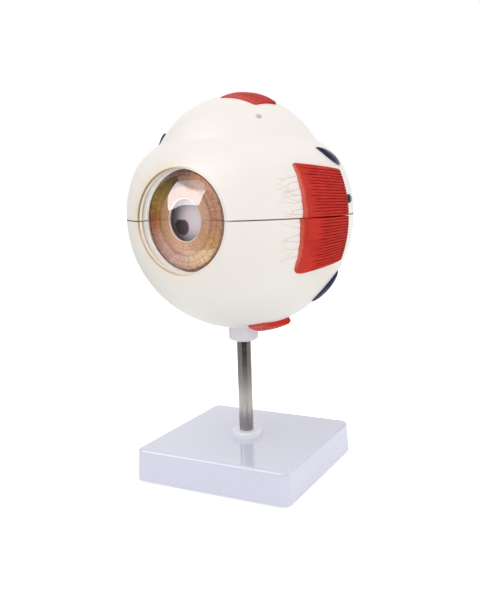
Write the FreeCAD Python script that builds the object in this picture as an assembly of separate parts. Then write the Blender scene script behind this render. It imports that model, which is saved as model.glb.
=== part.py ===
import FreeCAD, Part
import math
import os

# Eye anatomy model, five times life size, on a desk stand. Millimetres, +Z up.
# Origin: centre of the footprint, on the axis of the support rod, at desk level.
# The eye looks along -Y. The model splits at a level seam through the globe's centre.

os.makedirs("parts", exist_ok=True)

# ---- driving dimensions: stand -------------------------------------------------
BASE_WIDTH = 92.0
BASE_DRAFT = 0.85            # how much each side leans in from bottom to top
BASE_HEIGHT = 17.2
BASE_CORNER_RADIUS = 4.5
BASE_TOP_EDGE_RADIUS = 2.0
BASE_WALL = 3.0
BASE_YAW = 3.8               # degrees the plate is turned from the line of sight
BASE_RIB_THICKNESS = 2.0
BOSS_RADIUS = 10.5
BOSS_LENGTH = 5.5

FOOT_RADIUS = 5.0
FOOT_THICKNESS = 2.0
FOOT_PROUD = 1.0             # rubber that stands below the plate's edge
FOOT_INSET = 10.0            # foot centre from the plate's side
FOOT_POST_RADIUS = 6.5

ROD_RADIUS = 4.0
ROD_CHAMFER = 0.5
ROD_RUNNING_CLEARANCE = 0.05
THREAD_RADIUS = 3.0
THREAD_CLEARANCE = 0.2
WASHER_RADIUS = 6.0
WASHER_THICKNESS = 1.6
NUT_ACROSS_FLATS = 10.0
NUT_HEIGHT = 5.0
THREAD_PAST_NUT = 1.0
FOOT_RING_RADIUS = 8.5
FOOT_RING_HEIGHT = 3.2
FOOT_RING_EDGE = 1.0

# ---- driving dimensions: globe -------------------------------------------------
GLOBE_CENTRE_HEIGHT = 142.1
GLOBE_RADIUS = 61.2
SHOULDER_START = 20.0        # degrees above the seam where the shoulder begins
SHOULDER_TIGHTER = 29.0      # the shoulder's radius is this much less than the globe's
NECK_FILLET = 7.0
DOME_TIGHTER = 13.8          # the dome's radius, likewise
DOME_RISE = 16.4             # dome's centre above the globe's centre
SCLERA_WALL = 7.0
SEAM_GAP = 0.25

COLLAR_RADIUS = 8.3
COLLAR_LENGTH = 7.5          # below the bottom of the globe
COLLAR_CHAMFER = 1.3
SPIGOT_RADIUS = 5.6
SOCKET_SETBACK = 0.5         # spigot end below the inside of the shell
ROD_TOP_MARGIN = 1.6         # socket's closed end above the rod
ROD_END_GAP = 0.3

OPENING_OVERLAP = 5.7        # edge of the front opening over the rim of the iris
CORNEA_RADIUS = 33.0
CORNEA_WALL = 1.5
CORNEA_EDGE_CLEARANCE = 0.3
FLANGE_DEPTH = 1.5           # how far the flange reaches into the wall
FLANGE_LIP = 1.9             # wall left in front of the flange at its rim
FLANGE_CLEARANCE = 0.1

PIN_RADIUS = 2.0
PIN_HEIGHT = 3.5
PIN_DEPTH = 4.0
PIN_CLEARANCE = 0.1
PIN_BEARINGS = (52.0, 150.0, 270.0)   # degrees round the rim from the front

VENT_RADIUS = 1.6
VENT_DEPTH = 3.0
VENT_BEARING = 50.0
VENT_ELEVATION = 56.0

# ---- driving dimensions: inside the globe --------------------------------------
TUNIC_CLEARANCE = 0.3        # between sclera and choroid, and round the vitreous
TUNIC_WALL = 2.5
INSIDE_TURN = -8.0           # degrees that all inside the sclera is turned from the line of sight
IRIS_THICKNESS = 2.0
IRIS_SETBACK = 17.2          # iris front face behind the front of the globe
PUPIL_RADIUS = 10.6
LENS_RADIUS = 20.0
LENS_FRONT_RADIUS = 50.0
LENS_REAR_RADIUS = 30.0
LENS_RIM_THICKNESS = 2.2
LENS_BEHIND_IRIS = 4.5
LENS_CLEARANCE = 0.3
CILIARY_BORE_CLEARANCE = 0.6
CILIARY_FOLDS = 36           # folds round the whole ring
CILIARY_FOLD_DEPTH = 1.6
CILIARY_GAP = 0.3            # ciliary ring to iris, and to the vitreous behind it

# ---- driving dimensions: muscles, nerve and vessels ----------------------------
MUSCLE_FRONT_THICKNESS = 1.8
MUSCLE_REAR_THICKNESS = 4.5
MUSCLE_CORNER = 1.6
MUSCLE_LEAN = 22.0           # degrees: the side muscles swell towards this far past their cut end
# side muscles, ahead of the globe's centre and up or down from the seam
RECTUS_FRONT = 30.2
RECTUS_REAR = 2.8
UPPER_RECTUS_CORNER = (28.4, 26.5)
UPPER_RECTUS_REAR_HEIGHT = 23.2
LOWER_RECTUS_FRONT = 31.8
LOWER_RECTUS_CHIN = (29.6, 22.5)
LOWER_RECTUS_CORNER = (24.6, 27.2)
LOWER_RECTUS_REAR_HEIGHT = 22.8
MEDIAL_TURN = 7.0            # degrees that what lies on the -X side is further round to the rear
# muscles over the top and under the bottom: corners in plan, then what their outside is grown
# over the globe and how far it is set to the rear, which makes them thicken rearward
SUPERIOR_RECTUS = ((-0.5, -16.2), (20.8, -16.4), (25.0, -1.5), (4.0, 4.5))
SUPERIOR_RECTUS_SWELL = (1.45, 3.0)
INFERIOR_RECTUS = ((14.2, -19.5), (21.7, -15.8), (28.5, 2.0), (10.0, 8.0))
INFERIOR_RECTUS_SWELL = (3.1, 6.5)
OBLIQUE_THICKNESS = 1.6
OBLIQUE_WIDTH = 11.0
OBLIQUE_LENGTH = 24.0
LONG_OBLIQUE_LENGTH = 34.0
# centre bearing, elevation and tilt of each band that shows beside the recti, and its length
SUPERIOR_OBLIQUE = ((-98.0, 46.0, -40.0, OBLIQUE_LENGTH), (150.0, 47.0, -35.0, OBLIQUE_LENGTH))
INFERIOR_OBLIQUE = ((141.0, -36.0, 62.0, LONG_OBLIQUE_LENGTH), (-84.0, -50.0, 20.0, OBLIQUE_LENGTH))
COLLAR_HOLE_CLEARANCE = 0.3

NERVE_RADIUS = 10.0
NERVE_FLARE_RADIUS = 14.0
NERVE_LENGTH = 20.0          # beyond the globe
NERVE_EDGE = 1.0
NERVE_BEARING = 195.0        # degrees from the front, towards +X first
VESSEL_RADIUS = 1.3
VESSEL_OFFSET = 3.2          # from the seam
VESSEL_PROUD = 1.0
VESSEL_SEAT = 10.0

VEIN_THICKNESS = 2.2
VEIN_WIDTH = 6.0
# bearing, elevation, tilt and length of each leaf, first the one on the +X side
UPPER_VEINS = ((91.5, 29.5, -40.0, 17.5), (-67.0, 44.5, 40.0, 17.5))
LOWER_VEINS = ((97.0, -38.0, 70.0, 21.0), (-104.0, -38.0, -70.0, 21.0))
STUB_RADIUS = 2.4
STUB_HEIGHT = 2.6
STUB_ROUNDING = 1.4
STUB_BEARING = 94.0
STUB_ELEVATION = 7.5

# ---- derived places -------------------------------------------------------------
BASE_BOTTOM = FOOT_PROUD
BASE_TOP = BASE_BOTTOM + BASE_HEIGHT
GLOBE_BOTTOM = -GLOBE_RADIUS
COLLAR_BOTTOM = GLOBE_BOTTOM - COLLAR_LENGTH
SHOULDER_RADIUS = GLOBE_RADIUS - SHOULDER_TIGHTER
DOME_RADIUS = GLOBE_RADIUS - DOME_TIGHTER
INNER_RADIUS = GLOBE_RADIUS - SCLERA_WALL
TUNIC_RADIUS = INNER_RADIUS - TUNIC_CLEARANCE
TUNIC_INNER_RADIUS = TUNIC_RADIUS - TUNIC_WALL
VITREOUS_RADIUS = TUNIC_INNER_RADIUS - TUNIC_CLEARANCE
SOCKET_TOP = -INNER_RADIUS - SOCKET_SETBACK
ROD_BORE_TOP = SOCKET_TOP - ROD_TOP_MARGIN
IRIS_FACE = GLOBE_RADIUS - IRIS_SETBACK
IRIS_BACK = IRIS_FACE - IRIS_THICKNESS
OPENING_RADIUS = math.sqrt(TUNIC_RADIUS ** 2 - IRIS_FACE ** 2) - OPENING_OVERLAP
LENS_FRONT = IRIS_BACK - LENS_BEHIND_IRIS
BIG = 4.0 * GLOBE_RADIUS

X, Y, Z = FreeCAD.Vector(1, 0, 0), FreeCAD.Vector(0, 1, 0), FreeCAD.Vector(0, 0, 1)
ORIGIN = FreeCAD.Vector(0, 0, 0)
GLOBE_CENTRE = FreeCAD.Vector(0, 0, GLOBE_CENTRE_HEIGHT)


# ---- helpers ----------------------------------------------------------------------
def vec(x, y, z=0.0):
    return FreeCAD.Vector(x, y, z)


def polar(radius, degrees):
    """Point in the X-Z half-plane at an elevation above the seam."""
    a = math.radians(degrees)
    return vec(radius * math.cos(a), 0, radius * math.sin(a))


def look(bearing, elevation=0.0):
    """Unit direction: bearing from the front (-Y) towards +X, elevation above the seam."""
    b, e = math.radians(bearing), math.radians(elevation)
    return vec(math.sin(b) * math.cos(e), -math.cos(b) * math.cos(e), math.sin(e))


def cylinder(radius, start, end, axis=Z):
    """Cylinder on an axis through the origin, between two stations along it."""
    return Part.makeCylinder(radius, end - start, axis * start, axis)


def revolve(points, axis=Z):
    """Solid of revolution about Z from (radius, height) points, turned onto an axis."""
    wire = Part.makePolygon([vec(r, 0, h) for r, h in points] + [vec(points[0][0], 0, points[0][1])])
    solid = Part.Face(wire).revolve(ORIGIN, Z, 360)
    solid.Placement = FreeCAD.Placement(ORIGIN, FreeCAD.Rotation(Z, axis))
    return solid


def sphere_height(radius, offset):
    """Distance from the centre plane of a sphere's surface at an offset from its axis."""
    return math.sqrt(radius * radius - offset * offset)


def ahead_of(station):
    """Everything in front of a plane square to the line of sight."""
    return Part.makeBox(2 * BIG, BIG, 2 * BIG, vec(-BIG, -station - BIG, -BIG))


def rounded_outline(points, radius, place):
    """Closed wire through corner points, each rounded, set on a plane by a placement."""
    count = len(points)
    corners = [vec(*p) for p in points]
    edges, starts, ends, mids = [], [], [], []
    for i in range(count):
        here, before, after = corners[i], corners[i - 1], corners[(i + 1) % count]
        to_before, to_after = (before - here).normalize(), (after - here).normalize()
        half = to_before.getAngle(to_after) / 2
        reach = radius / math.tan(half)
        bisector = (to_before + to_after).normalize()
        centre = here + bisector * (radius / math.sin(half))
        starts.append(here + to_before * reach)
        ends.append(here + to_after * reach)
        mids.append(centre - bisector * radius)
    for i in range(count):
        edges.append(Part.Arc(starts[i], mids[i], ends[i]).toShape())
        edges.append(Part.LineSegment(ends[i], starts[(i + 1) % count]).toShape())
    wire = Part.Wire(edges)
    wire.Placement = place
    return wire


def prism(points, radius, direction, start, end, up=Z):
    """Rounded prism whose outline is drawn square to a direction from the origin.

    The outline's first axis runs level to the right as seen from outside, its second upward.
    """
    normal = vec(direction.x, direction.y, direction.z).normalize()
    across = up.cross(normal).normalize()
    upward = normal.cross(across)
    matrix = FreeCAD.Matrix(across.x, upward.x, normal.x, normal.x * start,
                            across.y, upward.y, normal.y, normal.y * start,
                            across.z, upward.z, normal.z, normal.z * start,
                            0, 0, 0, 1)
    wire = rounded_outline(points, radius, FreeCAD.Placement(matrix))
    return Part.Face(wire).extrude(normal * (end - start))


def save(name, shape, place=None):
    """Move a finished piece to its place in the model and write it to its own file."""
    shape = shape.removeSplitter()
    solids = shape.Solids
    whole = solids[0] if len(solids) == 1 else Part.makeCompound(solids)
    if place is not None:
        whole = whole.copy()
        whole.Placement = place.multiply(whole.Placement)
    assert solids and whole.isValid(), name
    whole.exportStep("parts/" + name + ".step")
    box = whole.BoundBox
    print("%-24s solids %d  volume %9.1f  z %7.2f to %7.2f"
          % (name, len(solids), sum(s.Volume for s in solids), box.ZMin, box.ZMax))


UPPER = Part.makeBox(2 * BIG, 2 * BIG, BIG, vec(-BIG, -BIG, SEAM_GAP))
LOWER = Part.makeBox(2 * BIG, 2 * BIG, BIG, vec(-BIG, -BIG, -BIG))
STAND_PLACE = FreeCAD.Placement(ORIGIN, FreeCAD.Rotation(Z, BASE_YAW))
GLOBE_PLACE = FreeCAD.Placement(GLOBE_CENTRE, FreeCAD.Rotation())
INSIDE_PLACE = FreeCAD.Placement(GLOBE_CENTRE, FreeCAD.Rotation(Z, INSIDE_TURN))


# ---- stand ------------------------------------------------------------------------
def square_outline(width, corner, height):
    half = width / 2
    points = [(-half, -half), (half, -half), (half, half), (-half, half)]
    return rounded_outline(points, corner, FreeCAD.Placement(vec(0, 0, height), FreeCAD.Rotation()))


def base_plate():
    top_width = BASE_WIDTH - 2 * BASE_DRAFT
    outside = Part.makeLoft([square_outline(BASE_WIDTH, BASE_CORNER_RADIUS, BASE_BOTTOM),
                             square_outline(top_width, BASE_CORNER_RADIUS, BASE_TOP)], True, True)
    top_edges = [e for e in outside.Edges if e.BoundBox.ZMin > BASE_TOP - 0.01]
    outside = outside.makeFillet(BASE_TOP_EDGE_RADIUS, top_edges)

    inner_corner = BASE_CORNER_RADIUS - BASE_WALL / 2
    ceiling = BASE_TOP - BASE_WALL
    hollow = Part.makeLoft([square_outline(BASE_WIDTH - 2 * BASE_WALL, inner_corner, BASE_BOTTOM),
                            square_outline(top_width - 2 * BASE_WALL, inner_corner, ceiling)], True, True)
    rib_bottom = ceiling - BOSS_LENGTH
    clear = BASE_WIDTH / 2 - BASE_WALL / 2
    ribs = [Part.makeBox(2 * clear, BASE_RIB_THICKNESS, BOSS_LENGTH,
                         vec(-clear, -BASE_RIB_THICKNESS / 2, rib_bottom)),
            Part.makeBox(BASE_RIB_THICKNESS, 2 * clear, BOSS_LENGTH,
                         vec(-BASE_RIB_THICKNESS / 2, -clear, rib_bottom))]
    boss = cylinder(BOSS_RADIUS, rib_bottom, ceiling)
    posts = [cylinder(FOOT_POST_RADIUS, FOOT_THICKNESS, ceiling).translate(spot) for spot in foot_spots()]
    stiffening = boss.multiFuse(ribs + posts).common(hollow)
    body = outside.cut(hollow).fuse(stiffening)
    return body.cut(cylinder(THREAD_RADIUS + THREAD_CLEARANCE, 0, 2 * BASE_TOP))


def foot_spots():
    reach = BASE_WIDTH / 2 - FOOT_INSET
    return [vec(sx * reach, sy * reach) for sx in (-1, 1) for sy in (-1, 1)]


def rubber_feet():
    return Part.makeCompound([cylinder(FOOT_RADIUS, 0, FOOT_THICKNESS).translate(s) for s in foot_spots()])


def boss_face():
    return BASE_TOP - BASE_WALL - BOSS_LENGTH


def rod_washer():
    top = boss_face()
    ring = cylinder(WASHER_RADIUS, top - WASHER_THICKNESS, top)
    return ring.cut(cylinder(THREAD_RADIUS + THREAD_CLEARANCE, 0, BASE_TOP))


def rod_nut():
    top = boss_face() - WASHER_THICKNESS
    corner = NUT_ACROSS_FLATS / math.sqrt(3)
    points = [vec(corner * math.cos(k * math.pi / 3), corner * math.sin(k * math.pi / 3), top - NUT_HEIGHT)
              for k in range(7)]
    nut = Part.Face(Part.makePolygon(points)).extrude(Z * NUT_HEIGHT)
    return nut.cut(cylinder(THREAD_RADIUS, 0, BASE_TOP))


def rod_top():
    return GLOBE_CENTRE_HEIGHT + ROD_BORE_TOP - ROD_END_GAP


def support_rod():
    thread_end = boss_face() - WASHER_THICKNESS - NUT_HEIGHT - THREAD_PAST_NUT
    return revolve([(0, thread_end), (THREAD_RADIUS - ROD_CHAMFER, thread_end),
                    (THREAD_RADIUS, thread_end + ROD_CHAMFER), (THREAD_RADIUS, BASE_TOP),
                    (ROD_RADIUS, BASE_TOP), (ROD_RADIUS, rod_top() - ROD_CHAMFER),
                    (ROD_RADIUS - ROD_CHAMFER, rod_top()), (0, rod_top())])


def foot_ring():
    ring = cylinder(FOOT_RING_RADIUS, BASE_TOP, BASE_TOP + FOOT_RING_HEIGHT)
    rim = [e for e in ring.Edges if e.BoundBox.ZMin > BASE_TOP + FOOT_RING_HEIGHT - 0.01]
    ring = ring.makeFillet(FOOT_RING_EDGE, rim)
    return ring.cut(cylinder(ROD_RADIUS, BASE_TOP - 1, BASE_TOP + 2 * FOOT_RING_HEIGHT))


# ---- globe form ---------------------------------------------------------------------
def neck_fillet_centre():
    """Centre of the hollow fillet between shoulder and dome, outside both circles."""
    shoulder = polar(GLOBE_RADIUS - SHOULDER_RADIUS, SHOULDER_START)
    dome = vec(0, 0, DOME_RISE)
    from_shoulder, from_dome = SHOULDER_RADIUS + NECK_FILLET, DOME_RADIUS + NECK_FILLET
    line = dome - shoulder
    span = line.Length
    along = (span * span + from_shoulder ** 2 - from_dome ** 2) / (2 * span)
    aside = math.sqrt(from_shoulder ** 2 - along * along)
    line.normalize()
    return shoulder + line * along + vec(line.z, 0, -line.x) * aside


def globe_form(offset=0.0):
    """The globe's outside, grown by an offset: sphere, shoulder, hollow neck and dome."""
    shoulder_centre = polar(GLOBE_RADIUS - SHOULDER_RADIUS, SHOULDER_START)
    dome_centre = vec(0, 0, DOME_RISE)
    neck_centre = neck_fillet_centre()
    globe, shoulder = GLOBE_RADIUS + offset, SHOULDER_RADIUS + offset
    dome, neck = DOME_RADIUS + offset, NECK_FILLET - offset

    def towards(centre, radius, target):
        return centre + (target - centre).normalize() * radius

    shoulder_end = towards(shoulder_centre, shoulder, neck_centre)
    dome_start = towards(dome_centre, dome, neck_centre)
    shoulder_begin = polar(globe, SHOULDER_START)
    halfway = (shoulder_begin - shoulder_centre).normalize() + (shoulder_end - shoulder_centre).normalize()
    shoulder_mid = shoulder_centre + halfway.normalize() * shoulder
    neck_mid = towards(neck_centre, neck, (shoulder_end + dome_start) * 0.5)
    dome_lean = math.atan2(dome_start.x, dome_start.z - DOME_RISE) / 2
    dome_mid = dome_centre + vec(math.sin(dome_lean), 0, math.cos(dome_lean)) * dome
    south, north = vec(0, 0, -globe), vec(0, 0, DOME_RISE + dome)
    edges = [Part.Arc(south, polar(globe, (SHOULDER_START - 90) / 2), shoulder_begin).toShape(),
             Part.Arc(shoulder_begin, shoulder_mid, shoulder_end).toShape(),
             Part.Arc(shoulder_end, neck_mid, dome_start).toShape(),
             Part.Arc(dome_start, dome_mid, north).toShape(),
             Part.LineSegment(north, south).toShape()]
    return Part.Face(Part.Wire(edges)).revolve(ORIGIN, Z, 360)


def flange_front():
    """Station of the flange's front face: the wall's lip stays in front of it."""
    return sphere_height(GLOBE_RADIUS, OPENING_RADIUS + FLANGE_DEPTH) - FLANGE_LIP


def sclera_shell():
    shell = globe_form().cut(Part.makeSphere(INNER_RADIUS))
    shell = shell.cut(cylinder(OPENING_RADIUS, 0, BIG, -Y))
    groove_radius = OPENING_RADIUS + FLANGE_DEPTH
    groove = cylinder(groove_radius, flange_front() - CORNEA_WALL - FLANGE_CLEARANCE,
                      flange_front() + FLANGE_CLEARANCE, -Y)
    return shell.cut(groove)


def pins(radius, bottom, top):
    middle = GLOBE_RADIUS - SCLERA_WALL / 2
    stakes = []
    for bearing in PIN_BEARINGS:
        spot = look(bearing) * middle
        stakes.append(cylinder(radius, bottom, top).translate(spot))
    return Part.makeCompound(stakes)


def sclera_upper(shell):
    half = shell.common(UPPER)
    half = half.cut(pins(PIN_RADIUS + PIN_CLEARANCE, -PIN_HEIGHT, PIN_HEIGHT + 2 * SEAM_GAP))
    ray = look(VENT_BEARING, VENT_ELEVATION)
    rise = math.radians(VENT_ELEVATION)
    surface = DOME_RISE * math.sin(rise) + sphere_height(DOME_RADIUS, DOME_RISE * math.cos(rise))
    return half.cut(cylinder(VENT_RADIUS, surface - VENT_DEPTH, BIG, ray))


def sclera_lower(shell):
    half = shell.common(LOWER)
    half = half.cut(pins(PIN_RADIUS, -PIN_DEPTH, PIN_DEPTH))
    return half.cut(cylinder(SPIGOT_RADIUS, -BIG, 0))


def sclera_pins():
    return pins(PIN_RADIUS, -PIN_DEPTH, PIN_HEIGHT)


def globe_socket():
    seat = globe_form()
    collar = revolve([(0, COLLAR_BOTTOM), (COLLAR_RADIUS - COLLAR_CHAMFER, COLLAR_BOTTOM),
                      (COLLAR_RADIUS, COLLAR_BOTTOM + COLLAR_CHAMFER), (COLLAR_RADIUS, -INNER_RADIUS),
                      (0, -INNER_RADIUS)]).cut(seat)
    spigot = cylinder(SPIGOT_RADIUS, COLLAR_BOTTOM + COLLAR_CHAMFER, SOCKET_TOP)
    socket = collar.fuse(spigot)
    return socket.cut(cylinder(ROD_RADIUS + ROD_RUNNING_CLEARANCE, -BIG, ROD_BORE_TOP))


def cornea():
    """Clear dome with a flat flange held in the groove of the opening."""
    back = flange_front() - CORNEA_WALL
    dome_edge = OPENING_RADIUS - CORNEA_EDGE_CLEARANCE
    centre_station = back - sphere_height(CORNEA_RADIUS, dome_edge)
    centre = -Y * centre_station
    outer = Part.makeSphere(CORNEA_RADIUS, centre)
    inner = Part.makeSphere(CORNEA_RADIUS - CORNEA_WALL, centre)
    cap = outer.common(ahead_of(back))
    flange = cylinder(OPENING_RADIUS + FLANGE_DEPTH - FLANGE_CLEARANCE, back, flange_front(), -Y)
    return cap.fuse(flange).cut(inner)


# ---- inside the globe -----------------------------------------------------------------
def tunic_shell():
    """Choroid with the retina on its inside; its front is cut off where the iris sits."""
    shell = Part.makeSphere(TUNIC_RADIUS).cut(Part.makeSphere(TUNIC_INNER_RADIUS))
    return shell.cut(ahead_of(IRIS_BACK))


def iris_disc():
    slab = cylinder(TUNIC_RADIUS, IRIS_BACK, IRIS_FACE, -Y)
    return slab.common(Part.makeSphere(TUNIC_RADIUS)).cut(cylinder(PUPIL_RADIUS, 0, BIG, -Y))


def lens_rim_station():
    """Front edge of the lens rim."""
    front_sag = LENS_FRONT_RADIUS - sphere_height(LENS_FRONT_RADIUS, LENS_RADIUS)
    return LENS_FRONT - front_sag


def lens_rear_centre():
    rear_edge = lens_rim_station() - LENS_RIM_THICKNESS
    return rear_edge + sphere_height(LENS_REAR_RADIUS, LENS_RADIUS)


def lens():
    front = Part.makeSphere(LENS_FRONT_RADIUS, -Y * (LENS_FRONT - LENS_FRONT_RADIUS))
    rear = Part.makeSphere(LENS_REAR_RADIUS, -Y * lens_rear_centre())
    return cylinder(LENS_RADIUS, 0, BIG, -Y).common(front).common(rear)


def vitreous_face():
    return lens_rim_station() - LENS_RIM_THICKNESS


def vitreous_body():
    dish = Part.makeSphere(LENS_REAR_RADIUS + LENS_CLEARANCE, -Y * lens_rear_centre())
    return Part.makeSphere(VITREOUS_RADIUS).cut(ahead_of(vitreous_face())).cut(dish)


def ciliary_ring():
    """Ring of folds between the iris root and the vitreous, round the lens."""
    front, back = IRIS_BACK - CILIARY_GAP, vitreous_face() + CILIARY_GAP
    bore = LENS_RADIUS + CILIARY_BORE_CLEARANCE
    ring = cylinder(TUNIC_INNER_RADIUS, back, front, -Y).common(Part.makeSphere(TUNIC_INNER_RADIUS))
    ring = ring.cut(cylinder(bore, 0, BIG, -Y))
    pitch = 2 * math.pi * (bore + CILIARY_FOLD_DEPTH) / CILIARY_FOLDS
    slot = cylinder(pitch / 4, back - 1, front + 1, -Y)
    slots = []
    for k in range(CILIARY_FOLDS):
        a = 2 * math.pi * (k + 0.5) / CILIARY_FOLDS
        slots.append(slot.copy().translate(vec(math.cos(a), 0, math.sin(a)) * (bore + CILIARY_FOLD_DEPTH / 2)))
    return ring.cut(Part.makeCompound(slots))


# ---- muscles, nerve and vessels ----------------------------------------------------------
def bearing_of(station, radius):
    """Bearing of a point at seam height, from its station ahead of the centre and its distance."""
    return math.degrees(math.acos(station / radius))


def wedge_bulk(side):
    """Space between the globe and a ball set outward and rearward, so that it thickens rearward."""
    front_reach, rear_reach = GLOBE_RADIUS + MUSCLE_FRONT_THICKNESS, GLOBE_RADIUS + MUSCLE_REAR_THICKNESS
    rear_bearing = bearing_of(RECTUS_REAR, rear_reach)
    ball_bearing = rear_bearing + MUSCLE_LEAN
    front_angle = math.radians(ball_bearing - bearing_of(RECTUS_FRONT, front_reach))
    rear_angle = math.radians(MUSCLE_LEAN)
    shift = (rear_reach ** 2 - front_reach ** 2) / 2
    shift /= rear_reach * math.cos(rear_angle) - front_reach * math.cos(front_angle)
    radius = math.sqrt(front_reach ** 2 + shift ** 2 - 2 * front_reach * shift * math.cos(front_angle))
    return Part.makeSphere(radius, look(side * ball_bearing) * shift).cut(globe_form())


def skin(thickness):
    """Even layer on the outside of the globe."""
    return globe_form(thickness).cut(globe_form())


def side_rectus(side, half):
    """Half of a side muscle: side is 1 for +X, -1 for -X, and half is UPPER or LOWER.

    Its outline runs past the seam, so that the seam cuts it square.
    """
    past = 2 * MUSCLE_CORNER
    if half is UPPER:
        outline = [UPPER_RECTUS_CORNER, (RECTUS_REAR, UPPER_RECTUS_REAR_HEIGHT),
                   (RECTUS_REAR, -past), (RECTUS_FRONT, -past)]
    else:
        outline = [LOWER_RECTUS_CHIN, LOWER_RECTUS_CORNER, (RECTUS_REAR, LOWER_RECTUS_REAR_HEIGHT),
                   (RECTUS_REAR, -past), (LOWER_RECTUS_FRONT, -past)]
    upward = 1 if half is UPPER else -1
    points = [(-side * ahead, upward * height) for ahead, height in outline]
    muscle = prism(points, MUSCLE_CORNER, X * side, 0, BIG).common(wedge_bulk(side)).common(half)
    return muscle.rotate(ORIGIN, Z, -MEDIAL_TURN) if side < 0 else muscle


def pole_rectus(direction, corners, swell):
    """Muscle over the top (Z) or under the bottom (-Z) of the globe."""
    grown, rearward = swell
    outside = globe_form(grown).translate(Y * rearward)
    points = [(x * direction.z, y) for x, y in corners]
    slab = prism(points, MUSCLE_CORNER, direction, 0, BIG, Y).common(outside.cut(globe_form()))
    return slab.cut(cylinder(COLLAR_RADIUS + COLLAR_HOLE_CLEARANCE, -BIG, 0))


def strip(length, width, tilt):
    """Corners of a band about the outline's origin, its length turned up from level."""
    a = math.radians(tilt)
    corners = [(-length, -width), (length, -width), (length, width), (-length, width)]
    return [((u * math.cos(a) - v * math.sin(a)) / 2, (u * math.sin(a) + v * math.cos(a)) / 2)
            for u, v in corners]


def band(bearing, elevation, tilt, length):
    """Oblique muscle's band on the globe, centred on a direction."""
    outline = strip(length, OBLIQUE_WIDTH, tilt)
    slab = prism(outline, MUSCLE_CORNER, look(bearing, elevation), 0, BIG)
    return slab.common(skin(OBLIQUE_THICKNESS))


def leaf(bearing, elevation, tilt, length):
    """Pointed leaf of a vortex vein: two arcs, turned up from level, on the globe's skin."""
    a = math.radians(tilt)
    tip = vec(math.cos(a), math.sin(a)) * (length / 2)
    side = vec(-math.sin(a), math.cos(a)) * (VEIN_WIDTH / 2)
    normal = look(bearing, elevation)
    turn = FreeCAD.Rotation(Z.cross(normal), normal.cross(Z.cross(normal)), normal, "ZXY")
    wire = Part.Wire([Part.Arc(-tip, side, tip).toShape(), Part.Arc(tip, -side, -tip).toShape()])
    wire.Placement = FreeCAD.Placement(ORIGIN, turn)
    return Part.Face(wire).extrude(normal * BIG).common(skin(VEIN_THICKNESS))


def ciliary_vessel_stubs():
    """Round-headed stubs of the long ciliary vessels, just above the seam on both sides."""
    stubs = []
    for bearing in (STUB_BEARING, -STUB_BEARING - MEDIAL_TURN):
        ray = look(bearing, STUB_ELEVATION)
        knob = cylinder(STUB_RADIUS, 0, GLOBE_RADIUS + STUB_HEIGHT, ray)
        rim = [e for e in knob.Edges if abs(e.CenterOfMass.dot(ray) - GLOBE_RADIUS - STUB_HEIGHT) < 0.01]
        stubs.append(knob.makeFillet(STUB_ROUNDING, rim).cut(globe_form()))
    return Part.makeCompound(stubs)


def nerve_vessel(height, radius, start):
    ray = look(NERVE_BEARING)
    end = GLOBE_RADIUS + NERVE_LENGTH + VESSEL_PROUD
    return Part.makeCylinder(radius, end - start, ray * start + Z * height, ray)


def optic_nerve():
    """Stub of the nerve's sheath with a flare where it leaves the globe."""
    end = GLOBE_RADIUS + NERVE_LENGTH
    flare = NERVE_FLARE_RADIUS - NERVE_RADIUS
    root = sphere_height(GLOBE_RADIUS, NERVE_FLARE_RADIUS)
    knee = vec(NERVE_RADIUS + flare * (1 - math.sqrt(0.5)), 0, root + flare * (2 - math.sqrt(0.5)))
    points = [vec(0, 0, INNER_RADIUS), vec(NERVE_FLARE_RADIUS, 0, INNER_RADIUS),
              vec(NERVE_FLARE_RADIUS, 0, root + flare)]
    outline = [Part.LineSegment(points[0], points[1]).toShape(),
               Part.LineSegment(points[1], points[2]).toShape(),
               Part.Arc(points[2], knee, vec(NERVE_RADIUS, 0, root + 2 * flare)).toShape()]
    rest = [vec(NERVE_RADIUS, 0, root + 2 * flare), vec(NERVE_RADIUS, 0, end - NERVE_EDGE),
            vec(NERVE_RADIUS - NERVE_EDGE, 0, end), vec(0, 0, end), points[0]]
    outline += [Part.LineSegment(rest[i], rest[i + 1]).toShape() for i in range(len(rest) - 1)]
    solid = Part.Face(Part.Wire(outline)).revolve(ORIGIN, Z, 360)
    solid.Placement = FreeCAD.Placement(ORIGIN, FreeCAD.Rotation(Z, look(NERVE_BEARING)))
    solid = solid.cut(globe_form())
    for height in (VESSEL_OFFSET, -VESSEL_OFFSET):
        solid = solid.cut(nerve_vessel(height, VESSEL_RADIUS, GLOBE_RADIUS + NERVE_LENGTH - VESSEL_SEAT))
    return solid


def central_vessel(height):
    return nerve_vessel(height, VESSEL_RADIUS, GLOBE_RADIUS + NERVE_LENGTH - VESSEL_SEAT)


save("base_plate", base_plate(), STAND_PLACE)
save("rubber_feet", rubber_feet(), STAND_PLACE)
save("support_rod", support_rod())
save("foot_ring", foot_ring())
save("rod_washer", rod_washer())
save("rod_nut", rod_nut())

SHELL = sclera_shell()
save("sclera_upper", sclera_upper(SHELL), GLOBE_PLACE)
save("sclera_lower", sclera_lower(SHELL), GLOBE_PLACE)
save("sclera_pins", sclera_pins(), GLOBE_PLACE)
save("globe_socket", globe_socket(), GLOBE_PLACE)
save("cornea", cornea(), GLOBE_PLACE)
for half, space in (("upper", UPPER), ("lower", LOWER)):
    save("choroid_" + half, tunic_shell().common(space), INSIDE_PLACE)
    save("iris_" + half, iris_disc().common(space), INSIDE_PLACE)
    save("ciliary_body_" + half, ciliary_ring().common(space), INSIDE_PLACE)
save("lens", lens(), INSIDE_PLACE)
save("vitreous_body", vitreous_body(), INSIDE_PLACE)

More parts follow.
